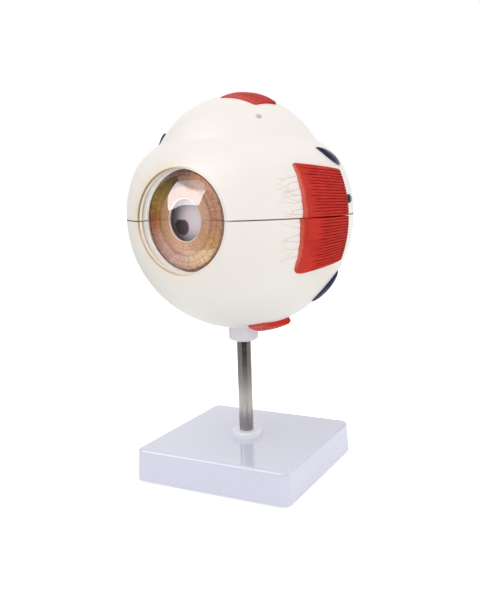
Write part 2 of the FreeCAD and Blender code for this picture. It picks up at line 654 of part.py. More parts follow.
for name, side in (("lateral", 1), ("medial", -1)):
    save(name + "_rectus_upper", side_rectus(side, UPPER), GLOBE_PLACE)
    save(name + "_rectus_lower", side_rectus(side, LOWER), GLOBE_PLACE)
save("superior_rectus", pole_rectus(Z, SUPERIOR_RECTUS, SUPERIOR_RECTUS_SWELL), GLOBE_PLACE)
save("inferior_rectus", pole_rectus(-Z, INFERIOR_RECTUS, INFERIOR_RECTUS_SWELL), GLOBE_PLACE)
save("superior_oblique", Part.makeCompound([band(*b) for b in SUPERIOR_OBLIQUE]), GLOBE_PLACE)
save("inferior_oblique", Part.makeCompound([band(*b) for b in INFERIOR_OBLIQUE]), GLOBE_PLACE)
save("vortex_veins_upper", Part.makeCompound([leaf(*v) for v in UPPER_VEINS]), GLOBE_PLACE)
save("vortex_veins_lower", Part.makeCompound([leaf(*v) for v in LOWER_VEINS]), GLOBE_PLACE)
save("ciliary_vessel_stubs", ciliary_vessel_stubs(), GLOBE_PLACE)
save("optic_nerve_upper", optic_nerve().common(UPPER), GLOBE_PLACE)
save("optic_nerve_lower", optic_nerve().common(LOWER), GLOBE_PLACE)
save("central_retinal_artery", central_vessel(VESSEL_OFFSET), GLOBE_PLACE)
save("central_retinal_vein", central_vessel(-VESSEL_OFFSET), GLOBE_PLACE)
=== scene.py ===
# %% [markdown]
# # Eye anatomy model on a desk stand
# The take-apart model of an eye stands on a glossy plate and a steel rod. The frame holds every
# solid at its real size, and this file gives each one its finish, and fibres, folds and vessels
# where the plain solid has none.

# %% Load the frame
import math

import bmesh
import bpy
import numpy as np
from mathutils import Matrix, Vector


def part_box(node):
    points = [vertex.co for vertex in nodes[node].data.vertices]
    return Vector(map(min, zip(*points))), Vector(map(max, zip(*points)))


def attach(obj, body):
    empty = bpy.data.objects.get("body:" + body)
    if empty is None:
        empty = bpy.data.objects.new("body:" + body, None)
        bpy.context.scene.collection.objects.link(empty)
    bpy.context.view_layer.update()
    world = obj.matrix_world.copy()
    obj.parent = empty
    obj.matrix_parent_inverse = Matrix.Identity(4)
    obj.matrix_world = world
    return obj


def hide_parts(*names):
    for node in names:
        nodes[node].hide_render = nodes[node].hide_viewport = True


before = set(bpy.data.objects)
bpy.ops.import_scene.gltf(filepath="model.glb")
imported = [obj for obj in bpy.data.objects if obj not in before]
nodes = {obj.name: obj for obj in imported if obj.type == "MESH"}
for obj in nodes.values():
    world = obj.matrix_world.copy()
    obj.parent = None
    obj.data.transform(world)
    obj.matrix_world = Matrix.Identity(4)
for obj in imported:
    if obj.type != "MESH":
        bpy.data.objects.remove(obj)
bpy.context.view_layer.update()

for node in nodes.values():
    node.data.materials.clear()
for flat_colour in list(bpy.data.materials):
    bpy.data.materials.remove(flat_colour)

# %% [markdown]
# The globe is the measure of everything on it, so its centre and radius are read from the lower
# half of the sclera: its top is the level seam, and half its width is the radius. All shapes
# below are worked out in millimetres from that centre, and turned into metres at the end.

# %% Measure the globe
MM = 0.001
low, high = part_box("sclera_lower")
RADIUS = round((high.x - low.x) / 2 / MM, 2)
SEAM = round(high.z / MM, 2)
SEAM_GAP = round(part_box("sclera_upper")[0].z / MM - SEAM, 2)
CENTRE = np.array([0.0, 0.0, SEAM])
print("globe radius", RADIUS, "seam height", SEAM, "gap", SEAM_GAP)

# %% [markdown]
# Above the seam the globe isn't a ball: a wide shoulder turns in to a hollow neck, and a dome
# stands on it. The outline is four arcs that meet smoothly. A Shrinkwrap modifier could press
# pieces onto the solid, but then they would show its flat faces. A line from the centre cuts each
# arc in one place, so a formula gives the exact distance with one square root for each arc.

# %% Outline of the globe
SHOULDER_START = math.radians(20.0)
SHOULDER_RADIUS, NECK_RADIUS, DOME_RADIUS, DOME_RISE = RADIUS - 29.0, 7.0, RADIUS - 13.8, 16.4
INSIDE, TUNIC, TUNIC_INSIDE, OPENING = RADIUS - 7.0, RADIUS - 7.3, RADIUS - 9.8, 25.43
RIM = math.sqrt(RADIUS ** 2 - OPENING ** 2)
MEDIAL_TURN, INSIDE_TURN = 7.0, -8.0


def towards(start, end, reach):
    return start + (end - start) / np.linalg.norm(end - start) * reach


shoulder = (RADIUS - SHOULDER_RADIUS) * np.array([math.cos(SHOULDER_START), math.sin(SHOULDER_START)])
dome = np.array([0.0, DOME_RISE])
span = np.linalg.norm(dome - shoulder)
lean = ((SHOULDER_RADIUS + NECK_RADIUS) ** 2 - (DOME_RADIUS + NECK_RADIUS) ** 2 + span ** 2) / (2 * span)
aside = math.sqrt((SHOULDER_RADIUS + NECK_RADIUS) ** 2 - lean ** 2)
line = (dome - shoulder) / span
neck = shoulder + line * lean + np.array([line[1], -line[0]]) * aside
shoulder_end = towards(shoulder, neck, SHOULDER_RADIUS)
dome_start = towards(dome, neck, DOME_RADIUS)


def to_arc(direction, centre, radius, near=1):
    along = direction @ centre
    return along + near * np.sqrt(np.maximum(radius ** 2 - centre @ centre + along ** 2, 0))


def surface_distance(points):
    """Distance from the globe's centre to its skin, in the direction of each point."""
    level = np.hypot(points[..., 0], points[..., 1])
    length = np.hypot(level, points[..., 2])
    direction = np.stack([level / length, points[..., 2] / length], -1)
    angle = np.arctan2(points[..., 2], level)
    reach = np.where(angle < SHOULDER_START, RADIUS, to_arc(direction, shoulder, SHOULDER_RADIUS))
    reach = np.where(angle > math.atan2(*shoulder_end[::-1]), to_arc(direction, neck, NECK_RADIUS, -1), reach)
    return np.where(angle > math.atan2(*dome_start[::-1]), to_arc(direction, dome, DOME_RADIUS), reach)


print("dome top", round(float(surface_distance(np.array([0.01, 0.0, 1.0]))), 2))

# %% [markdown]
# Muscles, veins, painted strokes and the iris are all slabs: a grid of points on the underside,
# the same grid on the face, and a wall round the border. They could be sculpted, but numbers in a
# grid give the same sharp relief on each run. One maker works a slab out, and a second one turns
# one or more slabs into a closed mesh. Measures such as how deep a point lies in a groove go with
# the points, so that the paint can use them later.

# %% Slab maker
def slab(under, face, **marks):
    """Points, faces and measures of one slab, from two grids of points in millimetres."""
    rows, columns = face.shape[:2]
    order = np.arange(rows * columns).reshape(rows, columns)
    top = np.stack([order[:-1, :-1], order[1:, :-1], order[1:, 1:], order[:-1, 1:]], -1).reshape(-1, 4)
    bottom = top[:, ::-1] + rows * columns
    edges = [order[0], order[-1][::-1], order[:, -1], order[::-1, 0]]
    walls = [np.stack([e[:-1], e[1:], e[1:] + rows * columns, e[:-1] + rows * columns], -1) for e in edges]
    points = np.concatenate([face.reshape(-1, 3), under.reshape(-1, 3)])
    marks = {name: np.tile(np.broadcast_to(value, (rows, columns)).reshape(-1), 2) for name, value in marks.items()}
    return points, np.concatenate([top, bottom] + walls), marks


def piece(name, slabs, sharp=50.0):
    """One object from slabs, placed in the frame, in metres."""
    starts = np.cumsum([0] + [len(points) for points, _, _ in slabs[:-1]])
    points = np.concatenate([points for points, _, _ in slabs]) + CENTRE
    faces = np.concatenate([faces + start for start, (_, faces, _) in zip(starts, slabs)])
    mesh = bpy.data.meshes.new(name)
    mesh.from_pydata((points * MM).tolist(), [], faces.tolist())
    for mark in slabs[0][2]:
        layer = mesh.attributes.new(mark, "FLOAT", "POINT")
        layer.data.foreach_set("value", np.concatenate([marks[mark] for _, _, marks in slabs]).astype(np.float32))
    work = bmesh.new()
    work.from_mesh(mesh)
    bmesh.ops.remove_doubles(work, verts=work.verts, dist=1e-7)
    bmesh.ops.recalc_face_normals(work, faces=work.faces)
    work.to_mesh(mesh)
    work.free()
    mesh.polygons.foreach_set("use_smooth", [True] * len(mesh.polygons))
    mesh.set_sharp_from_angle(angle=math.radians(sharp))
    made = bpy.data.objects.new(name, mesh)
    bpy.context.scene.collection.objects.link(made)
    print(name, "faces", len(mesh.polygons), "size mm", [round(side / MM, 1) for side in made.dimensions])
    return made


def stand_for(made, node, body, material):
    """The piece takes a solid's place, moves with its body and gets its paint."""
    made.data.materials.append(material)
    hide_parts(node)
    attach(made, body)

# %% [markdown]
# Materials are trees of shader nodes, and wordy to build one node at a time. The Value class holds
# an output of a node, so that sums of masks are written as sums: each +, -, * or / adds a Math
# node. One helper adds a node with its settings, and another one plugs values or numbers in.

# %% Node helpers
class Value:
    """An output of a shader node; +, -, * and / with it make Math nodes."""

    def __init__(self, socket):
        self.socket, self.tree = socket, socket.id_data

    def __add__(self, other):
        return calc("ADD", self, other)

    def __radd__(self, other):
        return calc("ADD", other, self)

    def __sub__(self, other):
        return calc("SUBTRACT", self, other)

    def __rsub__(self, other):
        return calc("SUBTRACT", other, self)

    def __mul__(self, other):
        return calc("MULTIPLY", self, other)

    def __truediv__(self, other):
        return calc("DIVIDE", self, other)


def plug(value, socket):
    """Link a value to an input, or write a plain number or colour there."""
    if isinstance(value, Value):
        value.tree.links.new(value.socket, socket)
    else:
        socket.default_value = value


def add_node(tree, kind, **settings):
    """A node whose settings go to its inputs, by name or as _number, or else to its properties."""
    made = tree.nodes.new("ShaderNode" + kind)
    for key, value in settings.items():
        label = key.replace("_", " ")
        if key.startswith("_"):
            plug(value, made.inputs[int(key[1:])])
        elif label in made.inputs:
            plug(value, made.inputs[label])
        else:
            setattr(made, key, value)
    return made


def put(tree, kind, output=0, **settings):
    return Value(add_node(tree, kind, **settings).outputs[output])


def tree_of(*values):
    return next(value.tree for value in values if isinstance(value, Value))


def calc(operation, *values, clamp=False):
    inputs = {"_%d" % i: v for i, v in enumerate(values)}
    return put(tree_of(*values), "Math", operation=operation, use_clamp=clamp, **inputs)

# %% [markdown]
# Nearly all paint here is made of a few steps: a mask from a soft step over a distance or a noise,
# and a mix of two colours by that mask. Colours are written as light, from 0 to 1, or as they read
# on a screen, from 0 to 255, which a formula turns into light.

# %% Masks and colours
def mix(factor, first, second):
    return put(tree_of(factor, first, second), "Mix", output=2, data_type="RGBA", clamp_factor=True,
               _0=factor, _6=first, _7=second)


def layered(colour, *coats):
    """A colour with thin coats over it in turn, each a mask and a shade."""
    for mask, shade in coats:
        colour = mix(mask, colour, shade)
    return colour


def ramp_up(value, start, end):
    """0 below start, 1 above end and a soft step between; start may be the larger."""
    return put(value.tree, "MapRange", interpolation_type="SMOOTHSTEP", _0=value, _1=start, _2=end)


def noise(vector, scale, detail=3.0, roughness=0.5, distortion=0.0):
    return put(vector.tree, "TexNoise", Vector=vector, Scale=scale, Detail=detail, Roughness=roughness,
               Distortion=distortion)


def stretched(vector, scale):
    return put(vector.tree, "Mapping", vector_type="POINT", Vector=vector, Scale=scale)


def graded(value, stops):
    """A colour ramp from pairs of a place and a colour."""
    made = add_node(value.tree, "ValToRGB", _0=value)
    ramp = made.color_ramp
    while len(ramp.elements) < len(stops):
        ramp.elements.new(0.5)
    for element, (place, colour) in zip(ramp.elements, stops):
        element.position, element.color = place, colour
    return Value(made.outputs[0])


def rgb(*parts):
    return tuple(parts) + (1.0,)


def neutral(level):
    return rgb(level, level, level)


def tint(red, green, blue):
    """A colour picked on a screen, from 0 to 255, as the light that it stands for."""
    return rgb(*(((v / 255 + 0.055) / 1.055) ** 2.4 for v in (red, green, blue)))


def local(tree):
    """The point's place in the model at rest, in metres."""
    return put(tree, "TexCoord", output="Object")


def mark(tree, name):
    return put(tree, "Attribute", attribute_name=name, output="Fac")

# %% [markdown]
# What several finishes share is a node group, built once and set differently in each material.
# The first is the skin of a moulded and sprayed part: a very low ripple, fine pits and a little
# dust that dulls the gloss.

# %% Group: moulded skin
def new_group(name, inputs, outputs):
    """A node group, its inputs as values, and the sockets that its outputs are plugged into."""
    group = bpy.data.node_groups.new(name, "ShaderNodeTree")
    for label, kind, value in inputs:
        socket = group.interface.new_socket(label, in_out="INPUT", socket_type="NodeSocket" + kind)
        socket.default_value = value
    for label, kind in outputs:
        group.interface.new_socket(label, in_out="OUTPUT", socket_type="NodeSocket" + kind)
    given = {socket.name: Value(socket) for socket in group.nodes.new("NodeGroupInput").outputs}
    return group, given, group.nodes.new("NodeGroupOutput").inputs


skin_group, given, out = new_group(
    "Moulded skin", [("Ripple", "Float", 0.5), ("Pits", "Float", 0.3), ("Dust", "Float", 0.3)],
    [("Height", "Float"), ("Dust", "Float"), ("Dulling", "Float")])
here = local(skin_group)
ripple = noise(here, 70.0, 1.0) * given["Ripple"]
pits = ramp_up(noise(here, 900.0, 2.0), 0.62, 0.75) * given["Pits"]
plug(ripple - pits * 0.15, out["Height"])
clouds = ramp_up(noise(here, 40.0, 6.0, 0.65), 0.5, 0.75)
specks = ramp_up(noise(here, 1400.0, 1.0), 0.68, 0.74)
dust = calc("MAXIMUM", clouds * 0.35, specks) * given["Dust"]
plug(dust, out["Dust"])
plug(dust * 0.5, out["Dulling"])
print("group", skin_group.name)

# %% [markdown]
# Edges of hand-made parts look different from their flats: paint gathers or rubs off there, and
# a paler edge is also a painted highlight, standing for the light that an edge catches. The
# Pointiness output finds edges too, but it changes with how fine a mesh is. The Bevel node bends
# the normal near an edge on any mesh, and how far it bends is the mask.

# %% Group: edge wear and painted highlight
edge_wear_and_highlight_group, given, out = new_group(
    "Edge wear and highlight", [("Width", "Float", 0.001), ("Breakup", "Float", 0.5)], [("Mask", "Float")])
bent = put(edge_wear_and_highlight_group, "Bevel", samples=4, Radius=given["Width"])
straight = put(edge_wear_and_highlight_group, "NewGeometry", output="Normal")
bend = 1.0 - put(edge_wear_and_highlight_group, "VectorMath", operation="DOT_PRODUCT", _0=bent, _1=straight, output="Value")
broken = 1.0 - noise(local(edge_wear_and_highlight_group), 260.0, 4.0) * given["Breakup"]
plug(ramp_up(bend * broken, 0.01, 0.12), out["Mask"])
print("group", edge_wear_and_highlight_group.name)

# %% [markdown]
# The anatomy is sprayed and brushed by hand, so no colour is even. A picture could be wrapped
# round each part, but that needs unwrapping, and noise over the place in the model doesn't. This
# group drifts between two colours in soft clouds with finer mottling, and gives the brush's height
# as well.

# %% Group: hand paint
paint_group, given, out = new_group(
    "Hand paint", [("Colour", "Color", rgb(0.8, 0.8, 0.8)), ("Second Colour", "Color", rgb(0.5, 0.5, 0.5)),
                   ("Scale", "Float", 60.0), ("Amount", "Float", 0.5)],
    [("Colour", "Color"), ("Height", "Float")])
here = local(paint_group)
soft = put(paint_group, "TexNoise", Vector=here, Scale=given["Scale"], Detail=2.0)
fine = put(paint_group, "TexNoise", Vector=here, Scale=given["Scale"] * 9.0, Detail=3.0)
drift = ramp_up(soft, 0.35, 0.7) * 0.7 + fine * 0.3
plug(mix(drift * given["Amount"], given["Colour"], given["Second Colour"]), out["Colour"])
plug(fine, out["Height"])
print("group", paint_group.name)

# %% [markdown]
# Much of the paint follows the globe: it changes with the distance from the centre, from the seam
# or from the axis of the eye. This group works those out in millimetres, with the direction
# round the eye's axis as two numbers.

# %% Group: place on the globe
place_group, given, out = new_group(
    "Place on the globe", [("Turned Back", "Float", 0.0)],
    [("Distance", "Float"), ("Height", "Float"), ("Off Axis", "Float"), ("Ahead", "Float"),
     ("Sideways", "Float"), ("Turn X", "Float"), ("Turn Z", "Float"), ("Vector", "Vector")])
shifted = put(place_group, "VectorMath", operation="SUBTRACT", _0=local(place_group), _1=tuple(CENTRE * MM))
straightened = put(place_group, "VectorRotate", rotation_type="Z_AXIS", Vector=shifted, Angle=given["Turned Back"])
scaled = put(place_group, "VectorMath", operation="SCALE", _0=straightened, Scale=1 / MM)
distance = put(place_group, "VectorMath", operation="LENGTH", _0=scaled, output="Value")
sideways, behind, height = (Value(s) for s in add_node(place_group, "SeparateXYZ", _0=scaled).outputs)
off_axis = calc("SQRT", sideways * sideways + height * height)
for value, label in ((distance, "Distance"), (height, "Height"), (off_axis, "Off Axis"),
                     (behind * -1.0, "Ahead"), (sideways, "Sideways"), (sideways / off_axis, "Turn X"),
                     (height / off_axis, "Turn Z"), (scaled, "Vector")):
    plug(value, out[label])
print("group", place_group.name)

# %% [markdown]
# A material has one Principled shader. The groups are placed beside it and set by the names of
# their inputs, and what they give is plugged into the shader's own inputs.

# %% Materials from groups
def use(tree, group, **settings):
    """A group placed in a material's tree, as a dictionary of its outputs."""
    made = tree.nodes.new("ShaderNodeGroup")
    made.node_tree = group
    for key, value in settings.items():
        plug(value, made.inputs[key.replace("_", " ")])
    return {socket.name: Value(socket) for socket in made.outputs}


def new_material(name, **plain):
    """A material with one Principled shader, whose even values are set on its own sockets."""
    material = bpy.data.materials.new(name)
    material.use_nodes = True
    tree = material.node_tree
    shader = tree.nodes["Principled BSDF"]
    feed(shader.inputs, **plain)
    return material, tree, shader.inputs


def feed(sockets, **values):
    """Plug several values in by the names of the sockets."""
    for key, value in values.items():
        plug(value, sockets[key.replace("_", " ")])


def bump(height, distance, strength=1.0):
    return put(height.tree, "Bump", Height=height, Distance=distance, Strength=strength)

# %% [markdown]
# The sclera is moulded in ivory plastic, painted a little darker and greener below as painted shade
# of the underside, and dressed with an airbrush: an ochre breath beside the opening, pinker under
# it, and a gold line on the rim. The wall inside the opening is a bright cold white. The seam is
# painted dark brown, as painted shade in the gap between the halves, so it reads as one thin dark
# line. Each of these is a coat with a mask from the place on the globe, so that both halves share
# one material and match at the seam.

# %% Material: sclera
def dress(material, *members):
    for member in members:
        nodes[member].data.materials.append(material)


sclera, tree, bsdf = new_material("sclera", IOR=1.32)
place = use(tree, place_group)
ivory = use(tree, paint_group, Colour=tint(246, 241, 236), Second_Colour=tint(243, 236, 227), Scale=26.0,
            Amount=0.55)
# painted shade: the lower part of the globe is painted darker and greener
underside_shade = ramp_up(place["Height"], 5.0, -60.0)
away = place["Off Axis"]
patchy = noise(place["Vector"], 0.11, 3.0)
left = ramp_up(place["Turn X"], 0.45, -0.35)
breath = ramp_up(away, 36.0, 25.5) * ramp_up(place["Ahead"], 20.0, 40.0)
sprayed = breath * left * (patchy + 0.2)
above = ramp_up(place["Turn Z"], -0.45, 0.25)
breath_paint = mix(above, tint(255, 240, 214), tint(228, 206, 162))
bore = ramp_up(away, OPENING + 0.3, OPENING + 0.1) * ramp_up(place["Ahead"], 40.0, 41.0)
wall_paint = mix(ramp_up(place["Ahead"], RIM - 1.0, INSIDE - 4.0), tint(255, 253, 243), tint(252, 255, 255))
near_rim = ramp_up(away, OPENING + 1.5, OPENING + 0.8) * ramp_up(place["Ahead"], RIM - 0.9, RIM - 0.45)
rim_line = calc("MULTIPLY", near_rim, left * 0.85 + patchy * 0.3, clamp=True)
rim_paint = mix(above, tint(224, 190, 168), tint(168, 140, 86))
inside = ramp_up(place["Distance"], INSIDE + 1.4, INSIDE + 0.8) * ramp_up(away, OPENING + 0.3, OPENING + 0.6)
# painted shade: a thin dark brown line along the seam stands for the shade in the gap between the halves
seam_shade_band = ramp_up(calc("ABSOLUTE", place["Height"] - SEAM_GAP / 2), 0.42, 0.2)
outermost = calc("MAXIMUM", bore, ramp_up(place["Distance"], RADIUS - 1.3, RADIUS - 0.7))
seam_shade = calc("MULTIPLY", seam_shade_band * outermost, 0.55 + noise(place["Vector"], 0.6) * 0.6, clamp=True)
skin = use(tree, skin_group, Ripple=0.7, Pits=0.2, Dust=0.25)
colour = layered(ivory["Colour"], (underside_shade * 0.8, tint(240, 238, 229)), (sprayed * 0.55, breath_paint),
                 (bore, wall_paint), (rim_line, rim_paint), (inside, tint(222, 188, 168)),
                 (seam_shade, tint(88, 64, 50)), (skin["Dust"] * 0.2, tint(180, 166, 148)))
feed(bsdf, Base_Color=colour, Roughness=0.42 + skin["Dulling"], Normal=bump(skin["Height"], 0.0006))
dress(sclera, "sclera_upper", "sclera_lower")
print("painted", sclera.name)

# %% [markdown]
# Muscles are painted red over moulded fibres. Near the front they run out in a smooth, paler
# tendon, and the colour is darker in the grooves than on the ridges. The slab maker stored how far
# along and how deep each point is, so the paint lands exactly on the relief.

# %% Material: muscle
muscle, tree, bsdf = new_material("muscle", IOR=1.22, Coat_Weight=0.02, Coat_Roughness=0.25)
along, valley = mark(tree, "along"), mark(tree, "valley")
ridge_paint = graded(along, [
    (0.0, rgb(0.72, 0.17, 0.12)), (0.03, rgb(0.60, 0.045, 0.03)), (0.20, rgb(0.64, 0.034, 0.024)),
    (0.34, rgb(0.68, 0.034, 0.022)), (0.80, rgb(0.60, 0.022, 0.014)), (1.0, rgb(0.42, 0.014, 0.010))])
blotch = use(tree, paint_group, Colour=ridge_paint, Second_Colour=rgb(0.40, 0.012, 0.008), Scale=90.0, Amount=0.55)
streaks = ramp_up(noise(mark(tree, "strand"), 9.0, 4.0), 0.45, 0.75)
# painted highlight: the edges of the muscles are painted a lighter red
edge_wear_and_highlight = use(tree, edge_wear_and_highlight_group, Width=0.0006, Breakup=0.8)
colour = layered(blotch["Colour"], (streaks * 0.35, rgb(0.74, 0.075, 0.040)),
                 (mark(tree, "tendon") * 0.14, tint(226, 142, 132)), (valley * 0.8, rgb(0.30, 0.009, 0.007)),
                 (edge_wear_and_highlight["Mask"] * 0.22, rgb(0.72, 0.16, 0.12)))
skin = use(tree, skin_group, Ripple=0.5, Pits=0.5, Dust=0.2)
feed(bsdf, Base_Color=colour, Roughness=0.42 + valley * 0.25,
     Normal=bump(skin["Height"] + blotch["Height"], 0.0004))
print("painted", muscle.name)

# %% [markdown]
# The relief of a muscle is the same everywhere: narrow valleys between fibre bundles that fade out
# towards the tendon, on a slab whose border is rounded over. Bump alone would draw the valleys,
# but they would be missing from the outline and flat when seen from the side. The functions below
# give the share of height lost in the valleys and the rounding at the border.

# %% Fibre relief
def smooth(value, start, end):
    share = np.clip((value - start) / (end - start), 0, 1)
    return share * share * (3 - 2 * share)


def eased(count):
    """Places from 0 to 1 that crowd towards both ends, so that rounded borders come out smooth."""
    t = np.linspace(0, 1, count)
    return t + 0.75 * (0.5 - 0.5 * np.cos(math.pi * t) - t)


def corner_cut(distance, radius):
    return radius - np.sqrt(radius ** 2 - (radius - np.minimum(distance, radius)) ** 2)


def fibres(along, across, count, start, seed):
    """Depth share of the valleys, from 0 on a ridge to 1 in a groove."""
    wander = 0.07 * np.sin(7.1 * along + 31 * across + seed) + 0.03 * np.sin(17 * along + 83 * across + 2 * seed)
    wave = 0.5 + 0.5 * np.cos(2 * math.pi * (across * count + wander))
    runs_out = smooth(along + 0.05 * np.sin(47 * across + seed), start - 0.10, start + 0.10)
    return wave ** 3.5 * runs_out


def rounded(border, reach=1.1, share=0.45):
    """Share of the full thickness at a distance in millimetres from the border."""
    return share + (1 - share) * np.sqrt(1 - (1 - np.minimum(border / reach, 1)) ** 2)

# %% [markdown]
# The side muscles are cut in two by the seam. A sheet with a Solidify modifier would be equally
# thick all over, but the real ones thicken from the tendon to the cut end. So their faces belong
# to a ball set outward and to the rear, as on the solids. The upper half ends in a sharp corner in
# front and the lower one in a round chin.

# %% Side muscles
FRONT_THICKNESS, REAR_THICKNESS, LEAN = 1.8, 4.5, math.radians(22.0)
REAR, CORNER, CHIN, GROOVE = 2.8, 1.6, 5.5, 0.62
UPPER_FRONT, LOWER_FRONT = 30.2, 31.8
BUNDLES = 17.5
front_reach, rear_reach = RADIUS + FRONT_THICKNESS, RADIUS + REAR_THICKNESS
ball_bearing = math.acos(REAR / rear_reach) + LEAN
front_angle = ball_bearing - math.acos(UPPER_FRONT / front_reach)
ball_shift = (rear_reach ** 2 - front_reach ** 2) / 2
ball_shift /= rear_reach * math.cos(LEAN) - front_reach * math.cos(front_angle)
ball_radius = math.sqrt(front_reach ** 2 + ball_shift ** 2 - 2 * front_reach * ball_shift * math.cos(front_angle))
ball = np.array([math.sin(ball_bearing), -math.cos(ball_bearing)]) * ball_shift


def turned(points, degrees):
    """Points turned about the upright axis of the globe, counter-clockwise from above."""
    turn = math.radians(degrees)
    x = points[..., 0] * math.cos(turn) - points[..., 1] * math.sin(turn)
    y = points[..., 0] * math.sin(turn) + points[..., 1] * math.cos(turn)
    return np.stack([x, y, points[..., 2]], -1)


def side_muscle(name, side, upper, body):
    a, c = np.meshgrid(eased(150), eased(340), indexing="ij")
    front = UPPER_FRONT - 1.2 * c ** 1.5 if upper else LOWER_FRONT - 1.9 * c ** 1.2
    front = front + 0.10 * np.sin(19 * c + 2) + 0.05 * np.sin(43 * c) - 0.1
    ahead = front + (REAR - front) * a
    length = (front - REAR) * a
    free_edge = 23.2 + (ahead - REAR) * 0.1196 if upper else 22.8 + (ahead - REAR) * 0.19
    free_edge -= corner_cut(length, CORNER if upper else CHIN) + corner_cut((front - REAR) * (1 - a), CORNER)
    first = SEAM_GAP if upper else 0.0
    height = first + (free_edge - first) * c
    bottom = np.sqrt(RADIUS ** 2 - ahead ** 2 - height ** 2)
    top = ball[0] + np.sqrt(ball_radius ** 2 - (ahead + ball[1]) ** 2 - height ** 2)
    valley = fibres(a, c, BUNDLES, 0.15 if upper else 0.28, side + upper)
    border = np.minimum(np.minimum(length, (front - REAR) * (1 - a)), (free_edge - first) * (1 - c))
    seam_round = rounded((free_edge - first) * c, 0.4, 0.8)
    thick = (top - bottom) * rounded(border) * seam_round - GROOVE * valley * smooth(border, 0.0, 1.2)
    sign = 1 if upper else -1
    grid = [np.stack([side * x, -ahead, sign * height], -1) for x in (bottom, bottom + thick)]
    if side < 0:
        grid = [turned(points, -MEDIAL_TURN) for points in grid]
    bulk = slab(*grid, along=a, valley=valley * smooth(border, 0.0, 1.0), strand=c * BUNDLES, tendon=0.0 * a)
    stand_for(piece(name + "_fibres", [bulk]), name, body, muscle)


for name, side in (("lateral_rectus", 1), ("medial_rectus", -1)):
    side_muscle(name + "_upper", side, True, "upper_globe")
    side_muscle(name + "_lower", side, False, "globe")

# %% [markdown]
# The muscles on the dome and under the globe are short bands with four corners in plan. They are
# laid out flat, and each point is then moved onto the skin by a few rounds of measuring. Their
# outside is the globe's own form, grown a little and set to the rear, so they thicken rearward,
# and fibres run from front to rear. The lower one makes room for the collar.

# %% Muscles over and under the globe
COLLAR_HOLE = 8.6


def on_skin(u, v, across, upward, normal):
    """Points on the globe's skin, seen straight down a direction, at places u and v on a plane."""
    reach = np.full(u.shape, RADIUS)
    for _ in range(8):
        rise = np.sqrt(np.maximum(reach ** 2 - u ** 2 - v ** 2, 1.0))
        points = u[..., None] * across + v[..., None] * upward + rise[..., None] * normal
        reach = surface_distance(points)
    return points


def lifted(points, thickness):
    return points * (1 + thickness / np.linalg.norm(points, axis=-1))[..., None]


def four_sided(corners, a, c):
    """Plan places between a front edge (a = 0) and a rear edge (a = 1), with softened corners."""
    front_left, front_right, rear_right, rear_left = (np.array(corner) for corner in corners)
    left = front_left + (rear_left - front_left) * a[..., None]
    right = front_right + (rear_right - front_right) * a[..., None]
    length = np.linalg.norm((rear_left + rear_right - front_left - front_right) / 2)
    width = np.linalg.norm(right - left, axis=-1)
    trim = corner_cut(length * np.minimum(a, 1 - a), CORNER) / width
    share = trim + (1 - 2 * trim) * c
    plan = left + (right - left) * share[..., None]
    border = np.minimum(length * np.minimum(a, 1 - a), width * np.minimum(c, 1 - c))
    return plan[..., 0], plan[..., 1], border


def pole_muscle(name, node, body, corners, swell, sign, count, seed):
    a, c = np.meshgrid(eased(130), eased(220), indexing="ij")
    x, y, border = four_sided(corners, a, c)
    if sign < 0:
        off = np.hypot(x, y)
        push = np.maximum(COLLAR_HOLE / off, 1)
        x, y = x * push, y * push
        border = np.minimum(border, np.maximum(off - COLLAR_HOLE, 0))
    under = on_skin(x, y, np.array([1, 0, 0]), np.array([0, 1, 0]), np.array([0, 0, sign]))
    middle = np.array([0.0, 0.0, DOME_RISE if sign > 0 else 0.0])
    outward = (under - middle) / np.linalg.norm(under - middle, axis=-1)[..., None]
    full = swell[0] + swell[1] * outward[..., 1]
    valley = fibres(a, c, count, 0.22, seed) * smooth(border, 0.0, 1.0)
    thick = full * rounded(border, 1.1, 0.35) - 0.3 * full * valley
    tendon = (1 - smooth(a, 0.04, 0.32)) * (0.2 if sign > 0 else 1.0)
    bulk = slab(under, under + outward * thick[..., None], along=0.1 + a * 0.8, valley=valley,
                strand=c * count, tendon=tendon)
    stand_for(piece(name, [bulk]), node, body, muscle)


pole_muscle("superior_rectus_fibres", "superior_rectus", "upper_globe",
            ((-0.5, -16.2), (20.8, -16.4), (25.0, -1.5), (4.0, 4.5)), (1.45, 3.0), 1, 13.5, 4.0)
pole_muscle("inferior_rectus_fibres", "inferior_rectus", "globe",
            ((14.2, -19.5), (21.7, -15.8), (28.5, 2.0), (10.0, 8.0)), (3.1, 6.5), -1, 9.5, 5.0)

# %% [markdown]
# The oblique muscles show as narrow bands beside the others. Each is laid on a plane square to its
# own direction, turned by its tilt, and pressed onto the skin, so that three angles and a length
# are all that a new band needs.

# %% Oblique muscles
BAND_WIDTH, BAND_THICKNESS, BAND_BUNDLES = 11.0, 1.6, 6.5


def turned_to(bearing, elevation=0.0):
    """The direction at a bearing from the front to +X and an elevation, both in degrees."""
    b, e = math.radians(bearing), math.radians(elevation)
    return np.array([math.sin(b) * math.cos(e), -math.cos(b) * math.cos(e), math.sin(e)])


def facing(bearing, elevation, tilt):
    """Across, upward and outward axes of a plane on the globe."""
    b, t = math.radians(bearing), math.radians(tilt)
    normal = turned_to(bearing, elevation)
    level = np.array([math.cos(b), math.sin(b), 0.0])
    up = np.cross(normal, level)
    return level * math.cos(t) + up * math.sin(t), up * math.cos(t) - level * math.sin(t), normal


